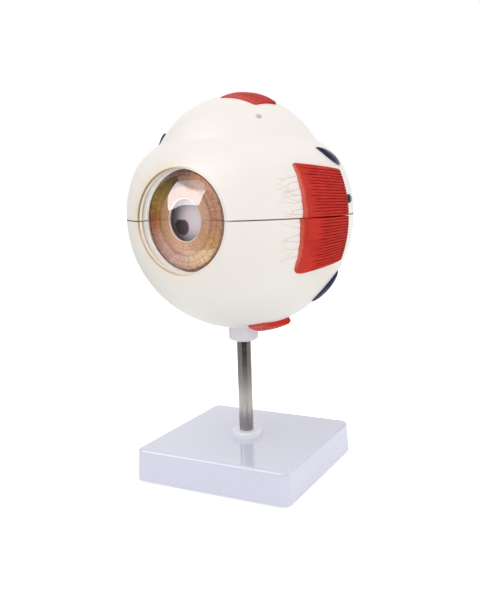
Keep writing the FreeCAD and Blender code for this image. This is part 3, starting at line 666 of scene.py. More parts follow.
def oblique_band(bearing, elevation, tilt, length):
    a, c = np.meshgrid(eased(90), eased(70), indexing="ij")
    u = length * (a - 0.5)
    half = BAND_WIDTH / 2 - corner_cut(length * np.minimum(a, 1 - a), CORNER)
    v = half * (2 * c - 1)
    border = np.minimum(length * np.minimum(a, 1 - a), half - np.abs(v))
    under = on_skin(u, v, *facing(bearing, elevation, tilt))
    valley = fibres(a, c, BAND_BUNDLES, 0.15, bearing) * smooth(border, 0.0, 1.0)
    thick = BAND_THICKNESS * rounded(border, 1.1, 0.35) - 0.35 * valley
    return slab(under, lifted(under, thick), along=0.3 + 0.7 * a, valley=valley,
                strand=c * BAND_BUNDLES, tendon=0.0 * a)


for name, body, bands in (("superior_oblique", "upper_globe", ((-98, 46, -40, 24), (150, 47, -35, 24))),
                          ("inferior_oblique", "globe", ((141, -36, 62, 34), (-84, -50, 20, 24)))):
    made = piece(name + "_fibres", [oblique_band(*band) for band in bands])
    stand_for(made, name, body, muscle)

# %% [markdown]
# The vortex veins leave the globe as dark blue leaves. A squashed ball would be too blunt at the
# ends, so a leaf is two arcs that meet in points, swollen in the middle. Its rim is painted greyer
# and lighter, as a painted highlight along the edge.

# %% Material and leaves: vortex veins
vein_paint, tree, bsdf = new_material("vortex_veins", Roughness=0.33, IOR=1.49, Coat_Weight=0.3, Coat_Roughness=0.2)
navy = use(tree, paint_group, Colour=rgb(0.016, 0.020, 0.060), Second_Colour=rgb(0.042, 0.048, 0.118),
           Scale=150.0, Amount=0.7)
edge_wear_and_highlight = use(tree, edge_wear_and_highlight_group, Width=0.0009, Breakup=0.7)
skin = use(tree, skin_group, Ripple=0.6, Pits=0.4, Dust=0.3)
# painted highlight: the edges of the leaves are painted a lighter grey-lilac
feed(bsdf, Base_Color=mix(edge_wear_and_highlight["Mask"] * 0.4, navy["Colour"], rgb(0.30, 0.30, 0.42)),
     Roughness=0.3 + skin["Dulling"], Normal=bump(skin["Height"], 0.0005))

LEAF_WIDTH, LEAF_THICKNESS = 6.0, 2.2


def leaf(bearing, elevation, tilt, length):
    a, c = np.meshgrid(eased(70), np.linspace(-1, 1, 33), indexing="ij")
    belly = np.maximum(1 - (2 * a - 1) ** 2, 1e-4)
    under = on_skin(length * (a - 0.5), LEAF_WIDTH / 2 * belly * c, *facing(bearing, elevation, tilt))
    crown = np.sqrt(np.maximum(1 - c ** 2, 0)) * belly ** 0.45
    return slab(under, lifted(under, 0.02 + LEAF_THICKNESS * 0.95 * crown))


for name, body, spots in (("vortex_veins_upper", "upper_globe", ((91.5, 29.5, -40, 17.5), (-67, 44.5, 40, 17.5))),
                          ("vortex_veins_lower", "globe", ((97, -38, 70, 21), (-104, -38, -70, 21)))):
    stand_for(piece(name + "_leaves", [leaf(*spot) for spot in spots], 80.0), name, body, vein_paint)
dress(vein_paint, "ciliary_vessel_stubs")

# %% [markdown]
# The iris is a thin disc in two halves with the pupil cut out. The real one is a weave of fibres
# round a wavy ring, the collarette, so each half is a grid in polar places: the face is lowered
# into crypts and folds, and never stands above the solid's own face. How low each point is goes
# with the mesh, for the paint.

# %% Iris relief
IRIS_FACE, PUPIL = RADIUS - 17.2, 10.6
IRIS_BACK = IRIS_FACE - 2.0
COLLARETTE, PUPIL_SLOPE = 17.0, 0.45
rng = np.random.default_rng(11)
waves = [(k, a, rng.uniform(0, 6.28), rng.uniform(-0.5, 0.5)) for k, a in
         ((37, 1.0), (53, 0.8), (71, 0.9), (97, 0.7), (131, 0.5), (173, 0.35))]


def iris_depth(radius, turn):
    ring = COLLARETTE + 0.35 * np.sin(9 * turn + 1.0) + 0.25 * np.sin(23 * turn) + 0.15 * np.sin(41 * turn + 2)
    strands = sum(a * np.sin(k * turn + phase + drift * radius + 0.8 * np.sin(0.6 * radius + k))
                  for k, a, phase, drift in waves)
    strands = 0.5 + 0.5 * np.tanh(strands * 0.9)
    outer, inner = smooth(radius, ring + 0.2, ring + 2.0), 1 - smooth(radius, ring - 2.0, ring - 0.2)
    folds = 0.5 + 0.5 * np.sin(2 * math.pi * (radius - 0.2 * np.sin(7 * turn)) / 1.9)
    depth = 0.08 + 0.16 * np.exp(-((radius - ring - 0.9) / 0.7) ** 2)
    depth = depth + outer * (0.26 * strands * (1 - smooth(radius, 22.5, 25.5)) + 0.10 * folds * strands)
    depth = depth + inner * (0.10 * strands + 0.06 * folds)
    return depth + PUPIL_SLOPE * (1 - smooth(radius, PUPIL, PUPIL + 0.9))


def iris_half(name, sign, body):
    s, c = np.meshgrid(np.linspace(0, 1, 90), np.linspace(0, 1, 560), indexing="ij")
    level = SEAM_GAP if sign > 0 else 0.0
    grids = []
    for ahead in (IRIS_BACK, IRIS_FACE):
        radius = PUPIL + (math.sqrt(TUNIC ** 2 - ahead ** 2) - PUPIL) * s
        first = np.arcsin(level / radius)
        turn = first + (math.pi - 2 * first) * c
        sunk = iris_depth(radius, sign * turn) if ahead == IRIS_FACE else 0.0 * s
        sunk = sunk * smooth(s, 1.0, 0.985)
        grid = np.stack([radius * np.cos(turn), sunk - ahead, sign * radius * np.sin(turn)], -1)
        grids.append(turned(grid, INSIDE_TURN))
    hollow = np.clip(sunk / PUPIL_SLOPE, 0, 1)
    stand_for(piece(name + "_weave", [slab(*grids, hollow=hollow)]), name, body, iris)

# %% [markdown]
# The paint of the iris turns with the clock: gold above on the left, orange beside it, lilac
# below, beige and golden on the other side. A picture could hold it, but would blur close by. A
# colour ramp over the angle holds the colours instead, a second one those inside the collarette,
# and noise stretched from the pupil to the rim makes the fibres.

# %% Material: iris
iris, tree, bsdf = new_material("iris", Roughness=0.55, IOR=1.25)
place = use(tree, place_group, Turned_Back=math.radians(-INSIDE_TURN))
clock = calc("ARCTAN2", place["Turn Z"], place["Turn X"]) / (2 * math.pi) + 0.5
radial = put(tree, "CombineXYZ", _0=place["Turn X"] * 26.0, _1=place["Turn Z"] * 26.0, _2=place["Off Axis"] * 0.16)
strands = noise(radial, 1.0, 4.0, 0.65, 0.4)
coarse = noise(radial, 0.28, 2.0, 0.5, 0.6)
wobble = clock + (coarse - 0.5) * 0.07
outer_paint = graded(wobble, [(hour, tint(*shade)) for hour, shade in (
    (0.00, (232, 152, 84)), (0.07, (246, 196, 176)), (0.12, (248, 204, 200)), (0.19, (218, 160, 146)),
    (0.26, (224, 182, 140)), (0.35, (230, 188, 128)), (0.42, (198, 152, 92)), (0.50, (184, 130, 104)),
    (0.60, (200, 150, 126)), (0.68, (196, 138, 92)), (0.74, (112, 54, 30)), (0.80, (84, 50, 26)),
    (0.86, (156, 134, 58)), (0.93, (220, 190, 88)), (1.00, (232, 152, 84)))])
inner_paint = graded(wobble, [(hour, tint(*shade)) for hour, shade in (
    (0.00, (206, 164, 118)), (0.12, (220, 168, 136)), (0.26, (226, 182, 154)), (0.41, (190, 142, 98)),
    (0.52, (196, 156, 130)), (0.64, (206, 170, 144)), (0.80, (196, 162, 132)), (1.00, (206, 164, 118)))])
print("clock colours", len(outer_paint.socket.node.color_ramp.elements))

# %% [markdown]
# The fibres, folds and rings are thin coats over the clock colours, and each has a mask of its own.
# The masks of the rings and of the outer edge follow a wavy distance from the pupil. The pale side
# low on the left is calmer than the rest.

# %% Coats on the iris
SECOND_RING, DARK_EDGE, IRIS_END = 21.0, 23.9, 25.1
wavy = place["Off Axis"] + (coarse - 0.5) * 2.2
light_strand = ramp_up(strands, 0.56, 0.72) * 0.32
pale_side = ramp_up(place["Turn Z"], 0.1, -0.3) * ramp_up(place["Turn X"], -0.1, -0.5)
busy = 1.0 - pale_side * 0.95
dark_strand = ramp_up(strands, 0.48, 0.34) * 0.36 * busy
patches = ramp_up(noise(radial, 0.5, 3.0, 0.6, 1.2), 0.50, 0.62)
outer_zone = ramp_up(wavy, COLLARETTE, COLLARETTE + 2.0)
second_ring = ramp_up(calc("ABSOLUTE", wavy - SECOND_RING), 0.9, 0.1)
turns = calc("SINE", (place["Off Axis"] + coarse * 1.2) * (2 * math.pi / 1.5))
rings = ramp_up(turns, 0.2, 0.9) * ramp_up(wavy, COLLARETTE + 0.4, COLLARETTE - 0.8)
ring_mask = ramp_up(calc("ABSOLUTE", wavy - (COLLARETTE + 0.5)), 1.5, 0.1) * 0.50
flecks = ramp_up(noise(place["Vector"], 0.9, 4.0), 0.6, 0.72) * 0.4
# painted shade: on the lower left the dark rim of the iris is painted wider and greyer
shady = ramp_up(place["Turn X"], 0.1, -0.7) * ramp_up(place["Turn Z"], -0.95, -0.1)
rim_edge = wavy + (strands - 0.5) * 2.6 - (DARK_EDGE + shady * 0.2)
rim_paint = mix(shady, tint(92, 52, 38), tint(58, 52, 62))
# painted shade: on the right the dark rim runs further out before the white border starts
right_rim_shade_shift = ramp_up(place["Turn X"], -0.2, 0.2) * 1.2
outside_rim = ramp_up(place["Off Axis"] - right_rim_shade_shift, IRIS_END, IRIS_END + 0.3)
speckle = noise(place["Vector"], 1.5, 4.0, 0.7)
back = ramp_up(place["Ahead"], IRIS_FACE - 0.9, IRIS_FACE - 1.1)
zones = mix(ramp_up(wavy, COLLARETTE - 0.8, COLLARETTE + 0.4), inner_paint, outer_paint)
colour = layered(
    zones, (light_strand, tint(226, 184, 130)),
    (dark_strand, tint(104, 58, 26)), (patches * outer_zone * busy * 0.28, tint(132, 84, 34)),
    (second_ring * busy * 0.30, tint(120, 74, 44)), (rings * 0.45, tint(160, 110, 92)),
    (ring_mask, tint(124, 86, 58)), (mark(tree, "hollow") * busy * 0.35, tint(100, 58, 32)),
    (flecks * ramp_up(place["Turn Z"], 0.1, -0.5), tint(190, 140, 156)),
    (ramp_up(rim_edge, 0.0, 1.2) * 0.92, rim_paint), (outside_rim, tint(248, 250, 250)),
    (ramp_up(place["Off Axis"], PUPIL + 0.9, PUPIL + 0.4) * 0.7, tint(226, 214, 204)),
    (ramp_up(speckle, 0.56, 0.66) * 0.35, tint(244, 214, 176)),
    (ramp_up(speckle, 0.44, 0.34) * 0.35, tint(92, 54, 34)), (back, tint(84, 62, 56)))
feed(bsdf, Base_Color=colour, Normal=bump(strands, 0.0003, 0.6))
iris_half("iris_upper", 1, "upper_tunic")
iris_half("iris_lower", -1, "lower_tunic")

# %% [markdown]
# Choroid and retina are one shell: outside it is the brown, bloody choroid, and inside it the
# orange retina with the pale optic disc, where the nerve enters, and the darker yellow spot. Two
# materials would need the faces sorted by hand. The distance from the centre tells them apart, so
# that one material does for both.

# %% Material: choroid and retina
NERVE_BEARING, YELLOW_SPOT_BEARING = 195.0, 172.0

choroid, tree, bsdf = new_material("choroid", Roughness=0.4, IOR=1.49, Coat_Weight=0.3, Coat_Roughness=0.2)
place = use(tree, place_group)


def spot_mask(vector, bearing, elevation, inner, outer):
    centre = tuple(turned_to(bearing, elevation) * TUNIC_INSIDE)
    apart = put(vector.tree, "VectorMath", operation="DISTANCE", _0=vector, _1=centre, output="Value")
    return ramp_up(apart, outer, inner)


retina = use(tree, paint_group, Colour=rgb(0.76, 0.36, 0.17), Second_Colour=rgb(0.62, 0.24, 0.12),
             Scale=45.0, Amount=0.6)
outside = use(tree, paint_group, Colour=rgb(0.24, 0.075, 0.045), Second_Colour=rgb(0.36, 0.12, 0.06),
              Scale=70.0, Amount=0.8)
# edge wear and painted highlight: the edges of the shell are painted paler
edge_wear_and_highlight = use(tree, edge_wear_and_highlight_group, Width=0.0006, Breakup=0.6)
skin = use(tree, skin_group, Ripple=0.6, Pits=0.4, Dust=0.1)
yellow_spot = spot_mask(place["Vector"], YELLOW_SPOT_BEARING, 0, 1.0, 6.5)
optic_disc = spot_mask(place["Vector"], NERVE_BEARING, 0, 4.4, 5.4)
colour = layered(retina["Colour"], (yellow_spot * 0.75, rgb(0.42, 0.10, 0.05)),
                 (optic_disc, rgb(0.86, 0.72, 0.45)),
                 (ramp_up(place["Distance"], TUNIC - 1.5, TUNIC - 1.0), outside["Colour"]),
                 (edge_wear_and_highlight["Mask"] * 0.5, rgb(0.74, 0.48, 0.34)))
feed(bsdf, Base_Color=colour, Roughness=0.34 + skin["Dulling"], Normal=bump(skin["Height"], 0.0005))

# %% [markdown]
# The parts that keep their solids get a finish each. Most follow one pattern: hand paint in two
# colours, moulded skin, and a paler or darker edge, so one function lays it out from the values
# that belong to the part.

# %% Plain finishes
def finish_of(name, members, first, second, edge, gloss, scale=80.0, amount=0.5, edge_amount=0.5,
              edge_width=0.0008, ripple=0.5, pits=0.3, dust=0.25, **plain):
    material, tree, bsdf = new_material(name, **plain)
    paint = use(tree, paint_group, Colour=rgb(*first), Second_Colour=rgb(*second), Scale=scale, Amount=amount)
    edge_wear_and_highlight = use(tree, edge_wear_and_highlight_group, Width=edge_width, Breakup=0.6)
    skin = use(tree, skin_group, Ripple=ripple, Pits=pits, Dust=dust)
    # edge wear and painted highlight: paler edges stand partly for the light that an edge catches
    colour = layered(paint["Colour"], (edge_wear_and_highlight["Mask"] * edge_amount, rgb(*edge)),
                     (skin["Dust"] * 0.3, rgb(0.42, 0.38, 0.34)))
    feed(bsdf, Base_Color=colour, Roughness=gloss + skin["Dulling"], Normal=bump(skin["Height"], 0.0005))
    dress(material, *members)


dress(choroid, "choroid_upper", "choroid_lower")
finish_of("base", ["base_plate"], (0.70, 0.71, 0.84), (0.68, 0.69, 0.82), (0.75, 0.76, 0.87), scale=22.0, amount=0.4,
          gloss=0.08, ripple=0.25, pits=0.1, dust=0.12, edge_width=0.0007, edge_amount=0.3, IOR=1.49)
finish_of("foot_ring", ["foot_ring"], (0.88, 0.885, 0.95), (0.84, 0.845, 0.91), (0.94, 0.94, 0.97),
          gloss=0.22, dust=0.15)
finish_of("socket", ["globe_socket"], (0.80, 0.78, 0.84), (0.76, 0.73, 0.80), (0.88, 0.87, 0.91), gloss=0.25, dust=0.2)
finish_of("rubber_feet", ["rubber_feet"], (0.035, 0.035, 0.037), (0.06, 0.058, 0.056), (0.11, 0.105, 0.10),
          gloss=0.62, pits=0.6)
finish_of("pins", ["sclera_pins"], (0.83, 0.79, 0.72), (0.76, 0.70, 0.60), (0.55, 0.47, 0.38), gloss=0.3)
finish_of("artery", ["central_retinal_artery"], (0.52, 0.03, 0.02), (0.38, 0.02, 0.015), (0.70, 0.22, 0.18), gloss=0.3)
finish_of("vein", ["central_retinal_vein"], (0.04, 0.07, 0.25), (0.03, 0.045, 0.15), (0.25, 0.28, 0.42), gloss=0.3)
finish_of("ciliary_body", ["ciliary_body_upper", "ciliary_body_lower"], (0.21, 0.085, 0.055), (0.12, 0.05, 0.035),
          (0.62, 0.40, 0.30), scale=160.0, amount=0.8, edge_amount=0.6, edge_width=0.0006, gloss=0.36)
print("solids with paint", sum(1 for node in nodes.values() if node.data.materials))

# %% [markdown]
# The nerve is a bundle of fibres in a sheath: yellow outside with long strands, and paler at the
# cut end, where the ends of the fibres show as dots. Modelling each fibre would be slow and hardly
# seen. The strands are noise stretched along the nerve, and the dots are the cells of a Voronoi
# texture, flattened in the same direction.

# %% Material: nerve
NERVE_END = RADIUS + 19.9
axis = turned_to(NERVE_BEARING)
nerve, tree, bsdf = new_material("nerve", Roughness=0.36, IOR=1.49, Coat_Weight=0.2, Coat_Roughness=0.2)
place = use(tree, place_group)
turned_vector = put(tree, "VectorRotate", rotation_type="Z_AXIS", Vector=place["Vector"],
                    Angle=-math.radians(NERVE_BEARING))
strand_noise = noise(stretched(turned_vector, (1.1, 0.05, 1.1)), 1.0, 4.0)
yellow = graded(strand_noise, [(0.30, rgb(0.58, 0.36, 0.12)), (0.50, rgb(0.80, 0.60, 0.26)),
                               (0.72, rgb(0.88, 0.74, 0.42))])
along_nerve = put(tree, "VectorMath", operation="DOT_PRODUCT", _0=place["Vector"], _1=tuple(axis), output="Value")
ends = put(tree, "TexVoronoi", Vector=stretched(turned_vector, (1.0, 0.0, 1.0)), Scale=0.9, output="Distance")
cut_face = mix(ramp_up(ends, 0.30, 0.45), rgb(0.88, 0.76, 0.50), rgb(0.55, 0.38, 0.18))
low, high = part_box("optic_nerve_lower")
end_reach = max(float(np.dot(axis[:2], (x / MM, y / MM))) for x in (low.x, high.x) for y in (low.y, high.y))
print("nerve reach at most", round(end_reach, 1))
colour = mix(ramp_up(along_nerve, NERVE_END - 0.05, NERVE_END + 0.05), yellow, cut_face)
feed(bsdf, Base_Color=colour, Normal=bump(strand_noise, 0.0006, 0.8))
dress(nerve, "optic_nerve_upper", "optic_nerve_lower")

# %% [markdown]
# The rod is ground steel: fine rings run round it from the grinding, so the noise is squashed in
# height, and faint clouds keep the grey from being even. The washer and the nut are zinc-plated, a
# little cloudier, and their noise is the same in all directions.

# %% Materials: steel
def steel(name, members, shade, stretch, roughness, cloud):
    material, tree, bsdf = new_material(name, Metallic=1.0)
    here = local(tree)
    rings = noise(stretched(here, stretch), 1.0, 3.0, 0.6)
    blotch = noise(here, 130.0, 3.0)
    colour = mix(blotch * cloud, rgb(*shade), rgb(*(0.6 * t for t in shade)))
    colour = mix(rings * 0.2, colour, rgb(0.32, 0.30, 0.28))
    skin = use(tree, skin_group, Ripple=0.1, Pits=0.6, Dust=0.3)
    feed(bsdf, Base_Color=colour, Roughness=rings * 0.14 + roughness + skin["Dulling"],
         Normal=bump(rings, 0.000015))
    dress(material, *members)


steel("rod", ["support_rod"], (0.44, 0.42, 0.40), (60.0, 60.0, 5200.0), 0.13, 0.4)
steel("fastener", ["rod_washer", "rod_nut"], (0.62, 0.62, 0.60), (500.0, 500.0, 500.0), 0.25, 0.7)

# %% [markdown]
# Cornea, lens and vitreous are clear acrylic. Glass needs little but the right index of
# refraction; what makes it real is a slight tint, faint polishing marks and dust. The cornea is a
# thin shell whose two faces cancel out, so it bends nothing, and only a clear coat on its outside
# shines. The lens is painted a milky lilac, a painted reflection of the room, and painted dark low
# on one side, as painted shade of the dark inside of the eye seen through it. Their shadows are
# switched off, because light that bends through glass would take far longer to find.

# %% Materials: clear parts
def clear(name, node, shade, ior, haze, **plain):
    material, tree, bsdf = new_material(name, IOR=ior, Transmission_Weight=1.0, Metallic=0.0, **plain)
    skin = use(tree, skin_group, Ripple=0.25, Pits=0.1, Dust=0.5)
    clouded = noise(local(tree), 60.0, 2.0)
    colour = mix(clouded * 0.25, rgb(*shade), rgb(*(0.93 * t for t in shade)))
    colour = mix(skin["Dust"] * 0.2, colour, rgb(0.7, 0.68, 0.64))
    feed(bsdf, Base_Color=colour, Roughness=haze + skin["Dulling"] * 0.2, Normal=bump(skin["Height"], 0.00012))
    dress(material, node)
    nodes[node].visible_shadow = False
    return tree, bsdf, colour


CORNEA_AHEAD, CORNEA_INSIDE, CORNEA_OUTSIDE = 30.17, 0.0320, 0.0326
LENS_SHADE_SPOT, LENS_SHADE_HALF = (-9.2, -3.6), (5.6, 4.6)

tree, bsdf, _ = clear("cornea", "cornea", (0.98, 0.98, 0.98), 1.0, 0.01, Coat_IOR=1.85, Coat_Roughness=0.01)
dome_centre = tuple((CENTRE + np.array([0.0, -CORNEA_AHEAD, 0.0])) * MM)
from_dome = put(tree, "VectorMath", operation="DISTANCE", _0=local(tree), _1=dome_centre, output="Value")
feed(bsdf, Coat_Weight=ramp_up(from_dome, CORNEA_INSIDE, CORNEA_OUTSIDE))

# painted reflection: the lens is a milky lilac that lets little light through, for the room mirrored in it
tree, bsdf, lilac_reflection = clear("lens", "lens", (1.0, 0.89, 0.97), 1.45, 0.02)
place = use(tree, place_group, Turned_Back=math.radians(-INSIDE_TURN))
# painted shade: a ragged dark patch low on one side of the lens, for the dark inside of the eye
aside = (place["Sideways"] - LENS_SHADE_SPOT[0]) / LENS_SHADE_HALF[0]
under = (place["Height"] - LENS_SHADE_SPOT[1]) / LENS_SHADE_HALF[1]
ragged = aside * aside + under * under + (noise(place["Vector"], 0.5) - 0.5) * 0.8
shaded = ramp_up(ragged, 1.25, 0.75) * ramp_up(place["Height"], 0.3, -0.6)
feed(bsdf, Base_Color=mix(shaded * 0.9, lilac_reflection, tint(80, 46, 46)), Transmission_Weight=0.2)
clear("vitreous", "vitreous_body", (0.88, 0.93, 0.95), 1.18, 0.02)
print("clear parts", [name for name in nodes if not nodes[name].visible_shadow])

# %% [markdown]
# Blood vessels are painted by hand with a fine brush: they leave a muscle or the optic disc,
# wander, fork and get thinner. A few could be drawn as curves with a bevel, but there are dozens.
# So each stroke is a low rounded ribbon laid on a surface, grown by a seeded random walk, which
# comes out the same each time.

# %% Vessel ribbons
def ribbon(centre_line, widths, height, inward):
    """A low rounded stroke along points on the globe, in millimetres from its centre."""
    forward = np.gradient(centre_line, axis=0)
    normal = centre_line / np.linalg.norm(centre_line, axis=1)[:, None]
    aside = np.cross(normal, forward)
    aside /= np.linalg.norm(aside, axis=1)[:, None]
    c = np.linspace(-1, 1, 5)[None, :, None]
    flat = centre_line[:, None] + aside[:, None] * c * widths[:, None, None] / 2
    bulge = height * np.minimum(1, widths / widths.max())[:, None, None] * (0.25 + 0.75 * np.sqrt(1 - c ** 2))
    lift = normal[:, None] * bulge * (-1 if inward else 1)
    return slab(flat - 0.05 * normal[:, None] * (-1 if inward else 1), flat + lift)


def grow(branches, rng, spot, heading, length, width, forks, limit, step):
    """A stroke from a place (bearing, elevation) in degrees; forks leave it on either side."""
    path, place, left = [np.array(spot, float)], np.array(spot, float), length
    while left > 0:
        heading += rng.normal(0, 0.12 * step)
        turn = np.array([math.cos(heading), math.sin(heading)]) * step
        turn[0] /= max(0.2, math.cos(math.radians(place[1])))
        if not limit(place + turn):
            break
        place = place + turn
        path.append(place)
        left -= step
        if forks > 0 and len(path) > 3 and rng.random() < (0.20 if step < 1 else 0.13):
            side = rng.choice([-1, 1])
            grow(branches, rng, place, heading + side * rng.uniform(0.45, 0.9), left * rng.uniform(0.5, 0.9),
                 width * 0.65, forks - 1, limit, step)
    if len(path) > 3:
        branches.append((np.array(path), width))


def strokes(name, body, material, seeds, reach, height, seed, inward=False, step=0.8):
    rng = np.random.default_rng(seed)
    branches = []
    for spot, heading, length, width, forks, limit in seeds:
        grow(branches, rng, spot, heading, length, width, forks, limit, step)
    parts = []
    for path, width in branches:
        fine = np.linspace(0, len(path) - 1, len(path) * 3)
        spots = np.stack([np.interp(fine, np.arange(len(path)), path[:, k]) for k in (0, 1)], 1)
        soft = spots.copy()
        for _ in range(4):
            soft[1:-1] = (soft[:-2] + soft[1:-1] * 2 + soft[2:]) / 4
        points = np.array([turned_to(*spot) for spot in soft])
        points = points * reach(points)[:, None]
        taper = width * (0.25 + 0.75 * np.linspace(1, 0, len(points)) ** 0.7)
        parts.append(ribbon(points, taper, height, inward))
    print(name, "strokes", len(parts))
    made = piece(name, parts, 80.0)
    made.data.materials.append(material)
    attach(made, body)

# %% [markdown]
# The finest vessels are pink hairlines on the white of the eye. Most start at the front edge of a
# side muscle and run forward, and a few lie low under the globe. Towards the opening they pale.

# %% Pink vessels on the sclera
PINK_HEIGHT = 0.05
pink, tree, bsdf = new_material("vessel_pink", Roughness=0.45, IOR=1.45)
brushed = use(tree, paint_group, Colour=tint(238, 184, 174), Second_Colour=tint(242, 206, 196),
              Scale=300.0, Amount=0.8)
thinned = ramp_up(use(tree, place_group)["Ahead"], 30.0, 40.0)
feed(bsdf, Base_Color=mix(thinned * 0.7, brushed["Colour"], tint(242, 222, 212)),
     Normal=bump(brushed["Height"], 0.0002))


def beside_muscle(side, low_level, high_level, first, last):
    return lambda p: first < side * p[0] < last and low_level < p[1] < high_level


upper, lower = [], []
for side in (1, -1):
    further = 0.0 if side > 0 else MEDIAL_TURN
    heading = math.pi if side > 0 else 0.0
    for level in (2.0, 4.5, 7.5, 10.5, 13.5, 16.5, 19.5):
        upper.append(((side * (62.0 + further - 0.05 * level), level), heading + side * 0.06, 13.0, 0.34, 1,
                      beside_muscle(side, 0.8, 25, 44 + further, 64 + further)))
    for level in (-2.0, -4.5, -7.5, -10.5, -13.5, -17.0):
        lower.append(((side * (60.2 + further), level), heading - side * 0.06, 12.0, 0.32, 1,
                      beside_muscle(side, -22, -0.6, 44 + further, 62 + further)))


def under_globe(p):
    return -78 < p[1] < -62


for bearing, level in ((48, -69), (42, -70.5), (36, -72)):
    lower.append(((bearing, level), math.pi * 0.75, 7.0, 0.5, 1, under_globe))
strokes("painted_vessels_upper", "upper_globe", pink, upper, surface_distance, PINK_HEIGHT, 3)
strokes("painted_vessels_lower", "globe", pink, lower, surface_distance, PINK_HEIGHT, 5)

# %% [markdown]
# Inside, arteries and veins spread from the optic disc in arches above and below the yellow spot,
# five of each on either half, red beside blue. Outside, on the choroid, wider red ones climb from
# the seam. The strokes stay on their own half of the shell, so that the halves come apart.

# %% Retinal and choroid vessels
VESSEL_HEIGHT, SHELL_FRONT = 0.13, 62.0


def level_reach(distance):
    return lambda points: np.full(len(points), distance)


def on_half(sign):
    """Says whether a place lies on a half of the shell, clear of its seam, pole and front."""
    return lambda p: 0.9 < sign * p[1] < 78 and SHELL_FRONT < p[0] % 360 < 360 - SHELL_FRONT


for half, sign, body in (("upper", 1, "upper_tunic"), ("lower", -1, "lower_tunic")):
    for colour_name, shift, number in (("artery", 0.0, 1), ("vein", 1.6, 2)):
        seeds = []
        for k, (heading, length) in enumerate(((0.9, 95), (2.3, 110), (1.5, 80), (0.35, 60), (2.9, 70))):
            spot = (NERVE_BEARING + shift - 1.2 + 0.6 * k, sign * 2.0)
            seeds.append((spot, sign * (heading + 0.10 * shift), length, 1.0 - 0.1 * k, 2, on_half(sign)))
        strokes("retinal_%s_%s" % (colour_name, half), body, bpy.data.materials[colour_name], seeds,
                level_reach(TUNIC_INSIDE), VESSEL_HEIGHT, 20 + number + 7 * sign, inward=True, step=2.0)
    seeds = [((bearing, sign * 3.0), sign * 1.57, 80, 1.2, 1, on_half(sign)) for bearing in range(80, 300, 20)]
    strokes("choroid_vessels_" + half, body, bpy.data.materials["artery"], seeds,
            level_reach(TUNIC), VESSEL_HEIGHT, 60 + sign, step=2.4)

# %% [markdown]
# The room is a pale floor and an even white world. To the camera, and to gloss and glass, the
# world shows itself at a plain strength of 1, which is white, and the floor adds a glow to its lit
# paint, so that the two meet without a hard edge. For other light the world is dimmer, so that the
# lamp can shape the globe, and the floor is a matt surface that holds the soft shadow.

# %% Floor and world
scene = bpy.context.scene
scene.view_settings.view_transform = "Standard"
FLOOR_HALF, SQUARES = 4.0, 8
floor_mesh = bpy.data.meshes.new("floor")
steps = np.linspace(-FLOOR_HALF, FLOOR_HALF, SQUARES + 1)
floor_points = [(x, y, 0.0) for y in steps for x in steps]
corners = [r * (SQUARES + 1) + k for r in range(SQUARES) for k in range(SQUARES)]
floor_faces = [(k, k + 1, k + SQUARES + 2, k + SQUARES + 1) for k in corners]
floor_mesh.from_pydata(floor_points, [], floor_faces)
floor = bpy.data.objects.new("floor", floor_mesh)
scene.collection.objects.link(floor)

floor_paint, tree, bsdf = new_material("floor_paint", Roughness=0.9)
grain = noise(local(tree), 30.0, 3.0)
feed(bsdf, Base_Color=mix(grain, neutral(0.86), neutral(0.88)))


def seen_directly(tree):
    """1 for what the camera, gloss and glass look at, and 0 for other light."""
    camera, gloss, glass = (put(tree, "LightPath", output="Is %s Ray" % kind)
                            for kind in ("Camera", "Glossy", "Transmission"))
    return calc("MAXIMUM", camera, calc("MAXIMUM", gloss, glass))


FLOOR_GLOW, WORLD_FILL = 0.55, 0.88
glow = put(tree, "Emission", Color=neutral(1.0), Strength=seen_directly(tree) * FLOOR_GLOW)
plain = Value(tree.nodes["Principled BSDF"].outputs[0])
plug(put(tree, "AddShader", _0=plain, _1=glow), tree.nodes["Material Output"].inputs["Surface"])
floor.data.materials.append(floor_paint)

world = bpy.data.worlds.new("studio_white")
world.use_nodes = True
scene.world = world
tree = world.node_tree
fill = put(tree, "MapRange", _0=seen_directly(tree), _1=0.0, _2=1.0, _3=WORLD_FILL, _4=1.0)
feed(tree.nodes["Background"].inputs, Color=neutral(1.0), Strength=fill)
print("floor", tuple(floor.dimensions), "world", world.name)

# %% [markdown]
# A soft lamp hangs above and in front on the left, and a low one on the right reaches the wall in
# the opening. Both are kept out of reflections, so that what gloss mirrors can be placed by itself,
# as cards that only reflections show.

# %% Lamps
globe_centre = Vector(CENTRE * MM)


def area_lamp(name, place, size, power):
    """A lamp that looks at the globe and isn't mirrored."""
    data = bpy.data.lights.new(name, "AREA")
    data.shape, data.size, data.size_y = "RECTANGLE", size[0], size[1]
    data.energy = power
    lamp = bpy.data.objects.new(name, data)
    scene.collection.objects.link(lamp)
    lamp.location = place
    lamp.rotation_euler = (globe_centre - place).to_track_quat("-Z", "Y").to_euler()
    lamp.visible_glossy = False


key_direction = Vector((-0.33, -0.38, 0.86)).normalized()
area_lamp("softbox", globe_centre + key_direction * 0.95, size=(0.9, 0.6), power=1.5)
area_lamp("side_lamp", globe_centre + Vector((0.88, -0.34, -0.03)), size=(0.6, 0.25), power=0.95)
print("lamps", [lamp.name for lamp in bpy.data.lights])

# %% [markdown]
# What a clear dome mirrors in a classroom is a window. Here it is a bright card whose corners lie
# where the reflected rays of the dome end, and which shines less above a certain height.

# %% Window card
def card(name, points, faces, paint):
    """A sheet that only reflections show."""
    mesh = bpy.data.meshes.new(name)
    mesh.from_pydata([tuple(p) for p in points], [], faces)
    made = bpy.data.objects.new(name, mesh)
    scene.collection.objects.link(made)
    mesh.materials.append(paint)
    made.visible_camera = made.visible_diffuse = made.visible_transmission = made.visible_shadow = False
    print(name, "faces", len(mesh.polygons))


